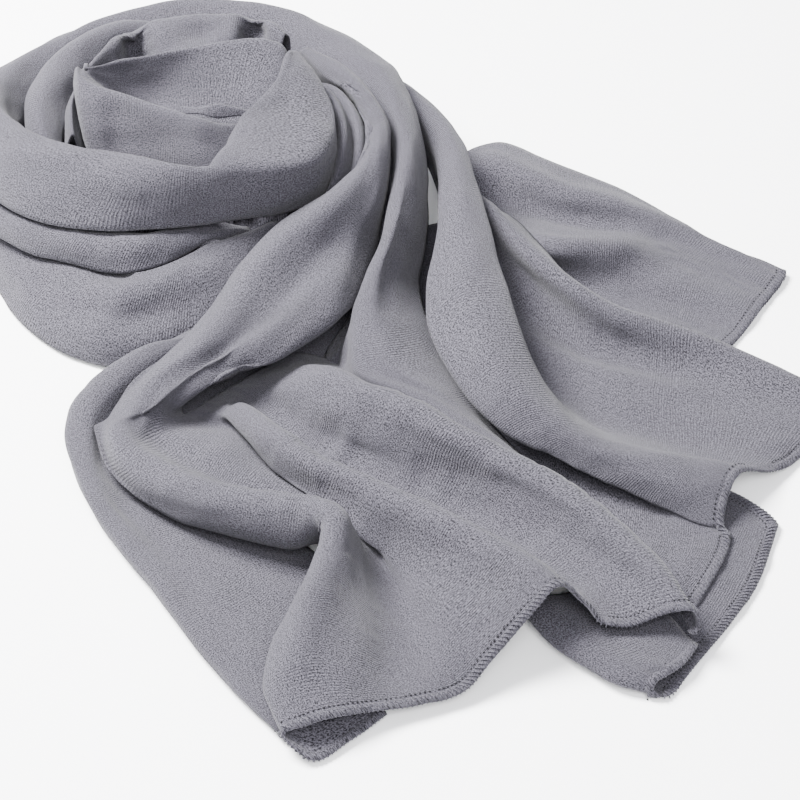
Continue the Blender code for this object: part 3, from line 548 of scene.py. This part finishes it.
MIDDLE_CREASES = (
    ("far ridge", 3.5, 12, (168, -14), (174, -25), (181, -37), (193, -54), (207, -71), (221, -85), (246, -99),
     (275, -108), (314, -122), (345, -138)),
    ("far valley", -5.0, 11, (178, -58), (187, -75), (207, -96), (222, -111), (244, -121), (269, -128), (300, -138)),
    ("second ridge", 2.0, 8, (189, -105), (209, -118), (232, -132), (255, -140), (285, -150)),
    ("plain valley", -4.0, 14, (186, -95), (196, -125), (210, -150), (235, -171), (265, -186), (300, -196)),
    ("band crown", 3.0, 13, (151, -32), (153, -69), (154, -103), (157, -136), (167, -170), (184, -196), (207, -214),
     (234, -228), (262, -240), (285, -247)),
    ("band near trough", -2.5, 9, (140, -112), (148, -155), (168, -192), (195, -215), (228, -234), (262, -251)),
    ("panel trough", -3.0, 12, (165, -175), (190, -215), (218, -244), (243, -262), (268, -275)),
    ("panel ridge", 2.0, 10, (182, -222), (206, -252), (230, -276), (255, -296)),
)
middle_end, edge_points = dress("middle_end", folds(MIDDLE_TAIL), "middle_tail", 13, MIDDLE_CREASES)
middle_hem = overlock("middle_hem", edge_points[:, -1], edge_points[:, -3])


# ---------------------------------------------------------------- ply in the hollow
# The cloth that shows deep between the long fold, the bright fold and the front end.
HOLLOW_PLY = (
    ("far edge", (-38, -156, 5), (-6, -128, 6), (32, -98, 9), (70, -62, 14), (105, -25, 20), (146, 0, 16)),
    ("middle", (-30, -172, 5), (5, -148, 5), (40, -122, 6), (75, -92, 9), (108, -62, 12), (148, -40, 9)),
    ("near edge", (-15, -190, 5), (20, -168, 5), (55, -142, 5), (88, -118, 5), (112, -100, 5), (150, -90, 5)),
)
hollow_points, _ = finer_along(folds(HOLLOW_PLY), FINE_STEP)
hollow_points, _ = finer_across(hollow_points, FINE_STEP)
hollow_ply = cloth_piece("hollow_ply", hollow_points, [], settled=False)


# ---------------------------------------------------------------- outer turn
# The lowest turn of the swirl, which rests on the table all round.
OUTER_TURN = (
    (60, 158, 22, 174, 2, 151, 14, 4),
    (82, 176, 24, 195, 2, 169, 16, 5),
    (104, 184, 24, 200, 2, 177, 16, 5),
    (126, 184, 24, 200, 2, 177, 16, 5),
    (146, 174, 22, 193, 2, 167, 14, 5),
    (164, 154, 20, 178, 2, 147, 12, 6),
    (182, 126, 21, 160, 2, 119, 13, 7),
    (200, 100, 23, 143, 2, 93, 15, 8),
    (216, 84, 26, 140, 2, 77, 18, 9),
    (230, 82, 28, 139, 2, 75, 20, 9),
    (241, 88, 32, 137, 2, 81, 24, 9),
    (250, 79, 35, 132, 2, 72, 27, 8),
    (262, 65, 38, 122, 2, 58, 30, 8),
    (276, 57, 40, 108, 3, 50, 32, 7),
    (296, 53, 42, 92, 6, 46, 34, 5),
    (318, 54, 43, 80, 12, 47, 35, 3),
)
OUTER_CREASES = (
    ("front crease", -4.0, 9, (-100, -74), (-74, -93), (-56, -104), (-38, -105), (-23, -102), (-4, -96)),
    ("front ridge", 3.5, 10, (-88, -77), (-67, -85), (-47, -89), (-27, -85), (-4, -73), (19, -57)),
    ("low ridge", 2.5, 12, (-110, -78), (-84, -104), (-56, -117), (-30, -118), (-8, -112)),
    ("left crease", -3.5, 9, (-150, 20), (-146, -12), (-136, -44), (-118, -68)),
    ("back crease", -3.0, 10, (-120, 96), (-80, 124), (-30, 138), (20, 134), (66, 114)),
)
outer_turn, outer_points = dress("outer_turn_cloth", turn(OUTER_TURN), "outer_turn", 14, OUTER_CREASES)


# ---------------------------------------------------------------- front left ply
# The ply under the long fold, which runs down the left side to the front hem.
FRONT_LEFT = (
    ("edge low", (-8, -113, 22), (-31, -123, 15), (-54, -136, 9), (-70, -156, 6), (-74, -191, 5), (-65, -223, 5),
     (-46, -263, 5), (-15, -310, 5), (16, -359, 5), (43, -393, 4), (57, -406, 3)),
    ("edge", (-5, -121, 25), (-30, -129, 24), (-54, -144, 18), (-70, -163, 14), (-74, -191, 12), (-65, -225, 11),
     (-46, -263, 10), (-14, -311, 10), (17, -358, 9), (42, -392, 7), (56, -408, 5)),
    ("ridge", (3, -119, 24), (-20, -132, 25), (-42, -150, 22), (-57, -170, 18), (-62, -197, 15), (-54, -228, 14),
     (-36, -263, 13), (-5, -306, 12), (26, -351, 11), (50, -385, 8), (61, -405, 5)),
    ("slope", (9, -113, 20), (-12, -133, 15), (-33, -154, 10), (-48, -174, 8), (-52, -198, 7), (-43, -228, 8),
     (-22, -262, 9), (11, -302, 9), (41, -343, 8), (62, -378, 6), (70, -400, 4)),
    ("trough", (16, -108, 10), (-4, -130, 7), (-24, -152, 5), (-38, -174, 4), (-38, -198, 4), (-26, -221, 4),
     (0, -249, 4), (31, -280, 4), (62, -317, 4), (80, -354, 4), (85, -388, 3)),
    ("far edge", (30, -108, 5), (14, -128, 4), (0, -148, 4), (-14, -168, 4), (-10, -190, 4), (4, -208, 4),
     (28, -234, 4), (58, -266, 4), (88, -300, 4), (104, -336, 4), (104, -370, 3)),
)
LEFT_CREASES = (
    ("side trough", -2.5, 9, (-57, -196), (-47, -226), (-27, -262), (-2, -302), (24, -345), (40, -372)),
    ("top ridge", 2.0, 9, (-30, -128), (-52, -146), (-64, -170), (-62, -200)),
)
front_left, edge_points = dress("front_left_ply", folds(FRONT_LEFT), "front_left", 15, LEFT_CREASES)
front_left_hem = overlock("front_left_hem", edge_points[:, -1], edge_points[:, -3])


# ---------------------------------------------------------------- middle front turn
# The turn between the outer turn and the upper one, in front.
MIDDLE_FRONT_TURN = (
    (160, 167, 36, 177, 26, 160, 29, 2),
    (176, 140, 37, 154, 26, 128, 24, 4),
    (190, 119, 39, 139, 27, 108, 26, 5),
    (206, 95, 42, 117, 28, 86, 28, 5),
    (222, 75, 45, 100, 30, 66, 30, 5),
    (238, 62, 46, 90, 31, 54, 32, 5),
    (252, 50, 46, 72, 32, 44, 34, 4),
    (270, 43, 46, 53, 34, 37, 34, 3),
    (290, 40, 40, 45, 32, 34, 32, 2),
    (306, 38, 34, 41, 28, 34, 28, 1),
)
MIDDLE_FRONT_CREASES = (
    ("crown", 2.5, 9, (-117, -32), (-89, -49), (-58, -61), (-28, -60), (1, -51), (27, -35)),
    ("lower crease", -2.5, 8, (-110, -55), (-80, -76), (-50, -84), (-20, -78), (8, -64)),
)
middle_front, _ = dress("middle_front_cloth", turn(MIDDLE_FRONT_TURN), "middle_front_turn", 16, MIDDLE_FRONT_CREASES,
                        settled=False)


# ---------------------------------------------------------------- second turn
# A short stretch that shows on the left, inside the upper turn.
SECOND_TURN = (
    (97, 140, 54, 148, 44, 134, 44, 3),
    (106, 146, 66, 156, 51, 137, 54, 4),
    (115, 147, 74, 158, 56, 135, 60, 5),
    (124, 142, 76, 156, 58, 128, 62, 5),
    (134, 134, 77, 150, 59, 119, 62, 5),
    (144, 126, 77, 142, 59, 111, 62, 5),
    (155, 117, 75, 133, 58, 102, 60, 5),
    (166, 108, 69, 119, 53, 96, 55, 4),
    (177, 96, 56, 106, 42, 86, 44, 3),
)
second_turn, _ = dress("second_turn_cloth", turn(SECOND_TURN), "second_turn", 17)


# ---------------------------------------------------------------- inner turn
# The turn behind the cup, with two dents pressed into its rim.
INNER_TURN = (
    (68, 112, 84, 120, 64, 98, 62, 3),
    (77, 122, 86, 132, 64, 100, 58, 3),
    (86, 124, 86, 136, 64, 96, 74, 3),
    (96, 124, 86, 136, 64, 92, 78, 3),
    (106, 124, 86, 136, 64, 90, 78, 3),
    (115, 123, 86, 134, 64, 92, 66, 3),
    (124, 115, 86, 124, 64, 94, 56, 3),
    (134, 107, 86, 114, 62, 95, 66, 3),
    (145, 101, 84, 107, 60, 92, 62, 2),
    (158, 94, 80, 99, 56, 86, 58, 2),
    (172, 86, 72, 91, 50, 78, 50, 2),
)
INNER_CREASES = (
    ("left pleat", -15.0, 7, (-53, 112), (-52, 100), (-50, 88), (-48, 78)),
    ("left pleat's ridge", 2.0, 6, (-64, 108), (-64, 96), (-64, 84)),
    ("left pleat's far ridge", 2.0, 6, (-40, 116), (-36, 104), (-32, 94)),
    ("right pleat", -13.0, 6, (20, 122), (21, 112), (22, 104), (23, 96)),
    ("right pleat's ridge", 2.0, 6, (8, 122), (8, 110), (8, 98)),
    ("right pleat's far ridge", 2.0, 6, (33, 116), (34, 106), (36, 98)),
    ("back hollow", -4.0, 9, (-26, 104), (-12, 106), (-2, 106)),
)
inner_turn, _ = dress("inner_turn_cloth", turn(INNER_TURN), "inner_turn", 18, INNER_CREASES, step=1.8)


# ---------------------------------------------------------------- inner cup
# The start of the swirl: a loose cup of cloth in its middle, and the curl inside it.
INNER_CUP = (
    ("front foot", (-84, 36, 60), (-77, 10, 62), (-56, 2, 60), (-32, -8, 60), (-10, -20, 62), (6, -22, 64), (20, -12, 68), (34, 2, 70)),
    ("front belly", (-87, 46, 80), (-81, 24, 82), (-58, 14, 80), (-32, 2, 79), (-11, -8, 79), (4, -10, 78), (18, -4, 76), (34, 8, 74)),
    ("front rim", (-84, 51, 95), (-82, 38, 96), (-58, 26, 94), (-34, 14, 93), (-15, 6, 92), (-3, 2, 91), (10, 4, 86), (32, 14, 78)),
    ("front inside", (-80, 50, 94), (-79, 42, 95), (-57, 34, 85), (-33, 24, 82), (-14, 16, 80), (0, 12, 76), (14, 14, 76), (34, 20, 76)),
    ("hollow", (-78, 50, 94), (-77, 44, 95), (-55, 42, 76), (-32, 36, 72), (-10, 32, 72), (8, 28, 70), (22, 26, 74), (38, 28, 78)),
    ("back face low", (-77, 50, 94), (-76, 45, 96), (-54, 48, 81), (-34, 50, 78), (-10, 50, 80), (14, 46, 82), (30, 40, 82), (43, 38, 80)),
    ("back face high", (-77, 51, 95), (-76, 46, 97), (-55, 52, 91), (-36, 57, 90), (-12, 62, 91), (18, 64, 94), (37, 58, 90), (45, 52, 86)),
    ("back rim", (-79, 53, 96), (-77, 47, 98), (-57, 54, 98), (-38, 60, 98), (-8, 70, 98), (22, 75, 100), (40, 72, 97), (46, 63, 90)),
    ("back outside", (-82, 55, 88), (-78, 50, 90), (-58, 60, 88), (-40, 66, 88), (-8, 77, 88), (24, 83, 88), (42, 81, 88), (46, 77, 85)),
)
inner_cup, _ = dress("inner_cup_cloth", folds(INNER_CUP), "inner_cup", 19, step=1.8)
CENTRE_CURL = (
    ("front", (-18, 20, 76), (-8, 18, 78), (3, 16, 80), (14, 17, 79), (24, 18, 77)),
    ("crest", (-19, 24, 80), (-8, 22, 85), (4, 21, 88), (16, 20, 86), (27, 20, 81)),
    ("back", (-18, 28, 76), (-8, 28, 78), (4, 28, 80), (16, 27, 80), (28, 25, 79)),
)
centre_curl, _ = dress("centre_curl_cloth", folds(CENTRE_CURL), "centre_curl", 20, step=1.2, height=0.15)


# ---------------------------------------------------------------- side turns
# Two thin turns on the right, between the flap and the long fold.
SIDE_TURN_INNER = (
    (58, 90, 66, 95, 52, 85, 60, 3),
    (42, 87, 77, 92, 58, 82, 70, 3),
    (30, 85, 79, 90.5, 55, 79, 71, 3),
    (14, 82, 77, 88, 52, 76, 69, 3),
    (0, 80, 72, 86, 46, 75, 64, 3),
    (-12, 78, 63, 83.5, 40, 73, 55, 3),
    (-22, 74, 52, 79, 36, 70, 45, 3),
)
side_inner, _ = dress("side_turn_inner_cloth", turn(SIDE_TURN_INNER), "side_turn_inner", 21, lift=False, step=1.5, height=0.2)
SIDE_TURN_OUTER = (
    (54, 96, 66, 100, 52, 91, 60, 3),
    (36, 94, 76, 98, 58, 89, 69, 3),
    (28, 93, 76, 98, 56, 88, 68, 3),
    (16, 92, 73, 97.5, 52, 86.5, 65, 3),
    (2, 90, 66, 95, 48, 84.5, 58, 3),
    (-10, 87, 57, 92, 42, 82, 50, 3),
    (-20, 81.5, 47, 86, 36, 77.5, 41, 3),
)
side_outer, _ = dress("side_turn_outer_cloth", turn(SIDE_TURN_OUTER), "side_turn_outer", 22, lift=False, step=1.5, height=0.2)


# ---------------------------------------------------------------- upper turn and bright fold
# The upper turn goes once round the heap, from the back to the flap in front, and its tail comes
# down the right side as the bright fold.
UPPER_TURN = (
    (8, 121, 71, 133, 47, 113, 54, 3),
    (22, 125, 73, 141, 48, 115, 62, 3),
    (36, 131, 73, 150, 46, 117, 64, 5),
    (50, 139, 70, 160, 40, 119, 64, 6),
    (64, 151, 67, 174, 34, 128, 58, 6),
    (78, 168, 64, 187, 30, 142, 50, 6),
    (92, 181, 60, 196, 29, 152, 44, 5),
    (106, 186, 57, 199, 29, 158, 40, 5),
    (122, 184, 52, 198, 29, 160, 36, 5),
    (137, 177, 52, 196, 30, 156, 34, 5),
    (150, 165, 60, 192, 34, 150, 46, 6),
    (163, 138, 70, 172, 38, 129, 58, 7),
    (176, 110, 76, 148, 42, 101, 64, 8),
    (190, 80, 81, 128, 44, 70, 62, 8),
    (206, 57, 84, 104, 47, 48, 66, 7),
    (226, 49, 86, 79, 51, 41, 68, 5),
    (252, 45, 88, 58, 52, 38, 72, 3),
    (272, 44, 88, 51, 52, 41, 82, 3),
    (285, 47, 88, 50, 52, 32, 89, 3),
    (299, 51, 88, 52, 52, 25, 90, 3),
    (318, 59, 87, 60, 51, 20, 91, 3),
    (338, 68, 85, 70, 50, 19, 92, 3),
    (358, 72, 84, 74, 50, 20, 93, 3),
    (375, 73, 86, 76, 56, 24, 94, 3),
    (390, 76, 90, 79, 64, 34, 95, 3),
    (402, 80, 93, 83, 74, 54, 97, 2),
    (413, 83, 97, 86, 84, 76, 99, 1),
)
LIP = (4.0, 7.0)         # how far the inner edge rolls in and down, mm
upper_form, upper_marks = finer_along(turn(UPPER_TURN, LIP), FORM_STEP)
lie_over(upper_form)
laid.append(cad_tree("upper_turn"))


# ---------------------------------------------------------------- long fold and front end
# The long fold comes round the right side of the swirl, crosses the front, turns back on itself
# and spreads out into the front end.
LONG_FOLD = (
    ("tuck end", (54, 101, 58), (74, 78, 52), (92, 60, 50), (101, 34, 50), (102, 4, 50), (94, -20, 47),
     (78, -40, 44), (60, -52, 42), (38, -68, 36), (20, -98, 27), (0, -130, 18), (-24, -162, 13), (-42, -189, 11)),
    ("tuck", (52, 101, 64), (70, 78, 60), (88, 57, 57), (97, 31, 58), (98, 4, 57), (89, -20, 53),
     (71, -38, 50), (52, -50, 47), (28, -71, 39), (10, -102, 30), (-11, -137, 21), (-34, -163, 15), (-51, -195, 12)),
    ("edge low", (50, 101, 69), (66, 77, 66), (84, 55, 64), (94, 31, 65), (95, 4, 64), (83, -20, 60),
     (66, -38, 56), (45, -50, 50), (22, -72, 42), (5, -104, 33), (-16, -136, 25), (-40, -160, 18), (-56, -197, 13)),
    ("edge", (51, 99, 74), (66, 75, 72), (84, 52, 70), (96, 28, 70), (95, 1, 69), (83, -21, 65),
     (66, -38, 61), (46, -50, 55), (24, -73, 46), (7, -105, 37), (-14, -136, 29), (-38, -160, 21), (-54, -196, 17)),
    ("ridge", (54, 98, 77), (70, 73, 78), (89, 47, 77), (100, 24, 76), (99, -4, 74), (90, -29, 72),
     (75, -51, 68), (57, -66, 62), (35, -89, 55), (19, -119, 46), (-1, -148, 39), (-25, -169, 32), (-44, -204, 26)),
    ("trough", (56, 99, 77), (74, 75, 80), (94, 48, 79), (104, 24, 77), (104, -6, 74), (99, -31, 67),
     (86, -53, 57), (71, -69, 49), (52, -98, 43), (36, -122, 39), (15, -145, 35), (-9, -168, 31), (-33, -198, 26)),
    ("second ridge", (58, 100, 75), (77, 77, 77), (97, 49, 76), (107, 24, 73), (108, -6, 69), (103, -34, 60),
     (93, -54, 49), (84, -76, 45), (70, -101, 45), (55, -120, 43), (28, -144, 39), (1, -161, 34), (-22, -186, 24)),
    ("lower edge", (59, 102, 68), (77, 79, 66), (97, 51, 63), (108, 25, 60), (108, -4, 54), (105, -28, 42),
     (100, -52, 31), (93, -84, 27), (82, -112, 33), (63, -134, 31), (33, -157, 28), (4, -170, 25), (-14, -179, 16)),
    ("lower tuck", (57, 101, 60), (73, 76, 56), (92, 49, 52), (103, 25, 50), (104, -4, 46), (102, -24, 34),
     (96, -48, 25), (88, -76, 21), (75, -100, 24), (56, -120, 23), (26, -145, 21), (0, -158, 19), (-9, -169, 13)),
)
FRONT_TAIL = (
    ("tuck end", (-42, -191, 11), (-37, -207, 10), (-25, -220, 10), (-7, -232, 10), (12, -243, 10), (39, -254, 10),
     (63, -262, 11), (85, -276, 12), (83, -307, 12), (76, -335, 11), (72, -362, 8), (80, -380, 4), (108, -391, 3)),
    ("tuck", (-51, -197, 12), (-44, -215, 11), (-29, -231, 11), (-10, -245, 11), (9, -256, 11), (36, -267, 11),
     (60, -273, 12), (79, -280, 13), (76, -309, 13), (68, -337, 12), (61, -364, 9), (64, -388, 5), (90, -408, 3)),
    ("edge low", (-56, -199, 13), (-48, -222, 12), (-33, -241, 12), (-14, -256, 12), (6, -267, 12), (33, -278, 13),
     (57, -285, 14), (74, -283, 16), (68, -311, 16), (59, -338, 15), (51, -365, 12), (50, -390, 7), (70, -421, 3)),
    ("edge", (-54, -198, 17), (-47, -220, 15), (-32, -241, 16), (-12, -256, 17), (7, -268, 18), (35, -280, 19),
     (60, -288, 21), (74, -285, 22), (67, -312, 22), (57, -337, 20), (49, -361, 18), (46, -387, 14), (59, -415, 9)),
    ("ridge", (-44, -206, 26), (-37, -227, 26), (-23, -243, 27), (-5, -255, 29), (15, -265, 31), (41, -273, 33),
     (66, -280, 37), (80, -290, 41), (77, -310, 37), (69, -333, 34), (62, -355, 30), (59, -382, 24), (68, -409, 16)),
    ("trough", (-33, -200, 26), (-30, -214, 25), (-15, -230, 26), (3, -239, 27), (22, -249, 28), (48, -260, 29),
     (72, -266, 31), (86, -285, 37), (86, -305, 34), (81, -327, 32), (78, -351, 29), (78, -377, 23), (85, -403, 16)),
    ("second ridge", (-22, -188, 24), (-22, -200, 20), (-6, -213, 21), (11, -220, 22), (29, -234, 22),
     (54, -246, 22), (77, -258, 24), (91, -280, 28), (94, -305, 26), (94, -330, 25), (96, -354, 22),
     (97, -378, 18), (105, -395, 12)),
    ("lower edge", (-14, -181, 16), (-11, -187, 13), (4, -194, 14), (20, -200, 15), (38, -217, 14), (60, -233, 14),
     (81, -253, 15), (96, -281, 18), (102, -306, 18), (108, -331, 17), (113, -355, 14), (119, -374, 10),
     (126, -388, 7)),
    ("valley", (-8, -172, 9), (-2, -174, 7), (8, -179, 7), (24, -183, 8), (42, -203, 8), (59, -219, 8),
     (79, -241, 8), (97, -266, 9), (106, -291, 10), (117, -321, 12), (127, -347, 11), (138, -366, 9),
     (147, -380, 8)),
    ("near edge", (0, -164, 8), (5, -168, 9), (11, -174, 12), (18, -184, 16), (35, -213, 20), (50, -238, 20),
     (67, -260, 20), (88, -279, 19), (104, -289, 16), (124, -310, 18), (141, -332, 20), (154, -352, 20),
     (164, -364, 18)),
    ("near ridge", (6, -158, 9), (12, -162, 12), (18, -169, 16), (26, -178, 21), (42, -211, 29), (60, -229, 31),
     (81, -248, 31), (102, -262, 31), (122, -275, 32), (146, -293, 34), (169, -312, 36), (186, -327, 38),
     (195, -339, 39)),
    ("far slope", (11, -153, 9), (18, -157, 12), (25, -164, 15), (34, -174, 19), (49, -203, 25), (69, -216, 27),
     (91, -233, 26), (113, -246, 25), (134, -261, 26), (158, -284, 27), (181, -305, 29), (199, -324, 31),
     (208, -337, 31)),
    ("valley far", (16, -148, 8), (23, -152, 11), (31, -159, 14), (40, -169, 17), (56, -194, 19), (75, -204, 20),
     (98, -220, 20), (121, -233, 20), (142, -249, 20), (167, -269, 20), (192, -291, 21), (211, -318, 22),
     (219, -344, 21)),
    ("far edge", (21, -144, 8), (29, -147, 11), (37, -154, 15), (46, -164, 20), (61, -187, 22), (80, -201, 23),
     (103, -215, 23), (126, -226, 22), (149, -241, 21), (175, -261, 21), (202, -284, 21), (223, -312, 20),
     (233, -344, 18)),
    ("far body", (27, -139, 8), (36, -142, 12), (44, -149, 17), (54, -158, 23), (68, -176, 28), (86, -192, 30),
     (108, -207, 29), (132, -218, 28), (155, -233, 26), (183, -254, 25), (211, -279, 25), (235, -309, 23),
     (249, -340, 21)),
    ("far ridge", (35, -133, 8), (44, -135, 12), (53, -140, 17), (64, -147, 24), (79, -164, 31), (96, -182, 34),
     (117, -194, 34), (139, -213, 32), (162, -228, 30), (193, -251, 29), (221, -277, 28), (246, -310, 27),
     (264, -342, 25)),
    ("far face", (42, -126, 6), (51, -127, 9), (60, -131, 12), (71, -138, 16), (87, -155, 22), (103, -174, 24),
     (122, -188, 24), (143, -207, 22), (166, -222, 20), (197, -246, 19), (226, -276, 19), (252, -310, 19),
     (269, -344, 19)),
    ("far foot", (49, -117, 4), (58, -117, 5), (68, -120, 6), (79, -124, 7), (98, -138, 7), (114, -157, 7),
     (131, -171, 7), (151, -190, 7), (174, -208, 7), (202, -236, 7), (226, -275, 9), (252, -314, 10),
     (266, -348, 12)),
)
TURN_BACK = 12           # station at which the long fold becomes the front end
front_lines, long_lines = folds(FRONT_TAIL), folds(LONG_FOLD)
hidden = [long_lines[-1] + (long_lines[-1] - long_lines[-2]) * k for k in range(1, len(front_lines) - len(long_lines) + 1)]
start = np.concatenate([long_lines, np.array(hidden)])[:, :TURN_BACK]
front_form, front_marks = finer_along(front_lines, FORM_STEP)
lie_over(front_form)
laid.append(cad_tree("front_tail"))
long_form, long_marks = finer_along(long_lines, FORM_STEP)
lie_over(long_form)
laid.append(cad_tree("long_fold"))
spare = np.array([long_form[-1] + (long_form[-1] - long_form[-2]) * k
                  for k in range(1, len(front_lines) - len(long_lines) + 1)])
whole = np.concatenate([np.concatenate([long_form, spare])[:, :-1], front_form], axis=1)
marks = np.concatenate([long_marks[:-1], front_marks + TURN_BACK])
front_points, inner = finer_along(whole, FINE_STEP)
front_points, front_rows = finer_across(front_points, FINE_STEP)
front_stations = np.interp(inner, np.arange(len(marks)), marks)
FRONT_CREASES = (
    ("far ridge", 9.0, 11, (75, -162), (96, -182), (117, -196), (139, -213), (162, -229), (193, -251), (221, -278),
     (246, -310), (262, -338)),
    ("middle trough", -12.0, 12, (15, -160), (32, -166), (48, -180), (71, -208), (96, -225), (126, -240), (153, -258),
     (179, -280), (205, -312)),
    ("near ridge", 9.0, 9, (26, -178), (40, -208), (58, -230), (80, -249), (104, -264), (134, -284), (160, -304),
     (182, -322), (195, -336)),
    ("near trough", -1.0, 8, (30, -205), (47, -228), (62, -246), (78, -264), (95, -277), (110, -292), (128, -316),
     (142, -345)),
    ("left ridge", 6.5, 10, (-42, -208), (-22, -233), (4, -252), (30, -264), (51, -268), (68, -276), (79, -292),
     (80, -318), (70, -345), (66, -375)),
    ("left trough", -7.0, 11, (-25, -200), (-2, -222), (21, -236), (44, -247), (66, -256), (84, -268)),
    ("hem trough", -4.0, 11, (97, -284), (104, -306), (110, -334), (108, -362), (100, -388)),
    ("hem ridge", 2.5, 10, (128, -318), (138, -338), (140, -362), (130, -384)),
    ("long ridge", 1.5, 14, (88, -36), (78, -56), (62, -80), (44, -104), (22, -126), (-2, -141), (-26, -156)),
    ("back ridge", 3.0, 9, (60, 90), (76, 70), (88, 48), (95, 24), (97, -4)),
)
press_creases(front_points, FRONT_CREASES)
unevenness(front_points, 23)
kept = (front_rows[:, None] <= len(long_lines) - 1) | (front_stations[None, :] >= TURN_BACK)
front_end = cloth_piece("front_end", front_points, ["front_tail", "long_fold"], keep=kept)
front_hem = overlock("front_hem", front_points[:, -1], front_points[:, -3])
BRIGHT_FOLD = (
    ("foot right", (132, 15, 46), (134, -6, 38), (131, -40, 28), (128, -78, 20), (136, -117, 16),
     (154, -158, 13), (178, -200, 10), (201, -225, 9), (219, -238, 8)),
    ("slope right", (129, 14, 62), (130, -22, 50), (121, -58, 37), (119, -98, 28), (132, -134, 22),
     (149, -168, 20), (172, -203, 17), (196, -227, 14), (216, -240, 11)),
    ("ridge", (121, 13, 71), (122, -22, 68), (112, -65, 57), (102, -117, 42), (111, -152, 33),
     (138, -177, 28), (164, -202, 24), (189, -227, 20), (212, -242, 14)),
    ("slope left", (115, 12, 67), (114, -24, 62), (103, -68, 52), (91, -117, 39), (99, -152, 31),
     (126, -175, 29), (157, -203, 26), (184, -227, 22), (208, -243, 16)),
    ("edge left", (113, 12, 60), (111, -22, 53), (101, -66, 45), (87, -118, 33), (91, -154, 29),
     (118, -175, 29), (152, -205, 26), (181, -228, 23), (205, -245, 18)),
    ("left face", (114, 12, 54), (114, -20, 45), (107, -62, 35), (83, -124, 22), (88, -155, 27),
     (114, -177, 28), (149, -206, 26), (179, -228, 23), (203, -246, 19)),
    ("left foot", (114, 11, 50), (116, -19, 40), (112, -58, 28), (78, -132, 16), (86, -156, 25),
     (112, -179, 26), (146, -207, 25), (177, -229, 22), (201, -247, 18)),
)
# past its left foot the cloth goes on, down into the hollow and under the front end
HOLLOW = (-15.0, -7.0, -9.0)
JOINT_ROUNDS = 12       # of smoothing where the fold leaves the turn
SUNK = 2.0
bright_lines = folds(BRIGHT_FOLD)
bright_lines = np.concatenate([bright_lines, bright_lines[-1:] + np.array(HOLLOW)])
bright_form, _ = finer_along(bright_lines, FORM_STEP)
lie_over(bright_form[:-1])
for line, share in ((5, 0.5), (6, 1.0), (7, 1.0)):
    for point in bright_form[line]:
        hit = dressed[-1].ray_cast(Vector((*point[:2], point[2] + 12)), DOWN, 24)[0]
        if hit:
            point[2] += share * (hit.z - SUNK * (line - 4) - point[2])
for point in bright_form[:, -1]:
    point[2] -= 2 * SUNK
# the bright fold's lines run from its right foot to its left one, and the turn's from its lip to its foot
bright_back = bright_form[::-1, ::-1]
upper_form = np.concatenate([upper_form[:1] - np.array((0.0, 0.0, LIP[1])), upper_form])
upper_whole = np.concatenate([bright_back, upper_form[:, 1:]], axis=1)
joint = bright_back.shape[1]
for _ in range(JOINT_ROUNDS):
    part = upper_whole[:, joint - 6:joint + 6]
    part[:, 1:-1] = (part[:, :-2] + 2 * part[:, 1:-1] + part[:, 2:]) / 4
upper_points, _ = finer_along(upper_whole, FINE_STEP)
upper_points, _ = finer_across(upper_points, FINE_STEP)
UPPER_CREASES = (
    ("front crown", 2.5, 12, (-112, 0), (-90, -18), (-57, -34), (-27, -38), (3, -38), (32, -34)),
    ("front trough", -2.5, 10, (-115, -18), (-88, -38), (-57, -52), (-27, -57), (3, -55), (30, -48)),
    ("flap fold", 2.5, 8, (48, 55), (57, 31), (62, 6), (63, -20)),
    ("bright trough", -3.0, 8, (120, -24), (116, -61), (108, -94), (106, -131)),
)
press_creases(upper_points, UPPER_CREASES)
unevenness(upper_points, 24)
upper_turn = cloth_piece("upper_turn_cloth", upper_points, ["upper_turn", "bright_fold"], settled=False)


# ---------------------------------------------------------------- inner layers
# The layers hidden inside the heap, which show only through the gaps, as one rounded mass of the
# same cloth.
inner_layers = bpy.data.objects.new("inner_layers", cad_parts["heap_core"].data.copy())
bpy.context.scene.collection.objects.link(inner_layers)
inner_layers.matrix_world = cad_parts["heap_core"].matrix_world
shape = bmesh.new()
shape.from_mesh(inner_layers.data)
bmesh.ops.remove_doubles(shape, verts=shape.verts, dist=0.00005)
wrap = shape.loops.layers.uv.new("cloth")
for face in shape.faces:
    for loop in face.loops:
        loop[wrap].uv = (loop.vert.co.x, loop.vert.co.y)
shape.to_mesh(inner_layers.data)
shape.free()
inner_layers.data.materials.clear()
inner_layers.data.materials.append(knit)
inner_layers.data.shade_smooth()
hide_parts("heap_core")
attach(inner_layers, "root")
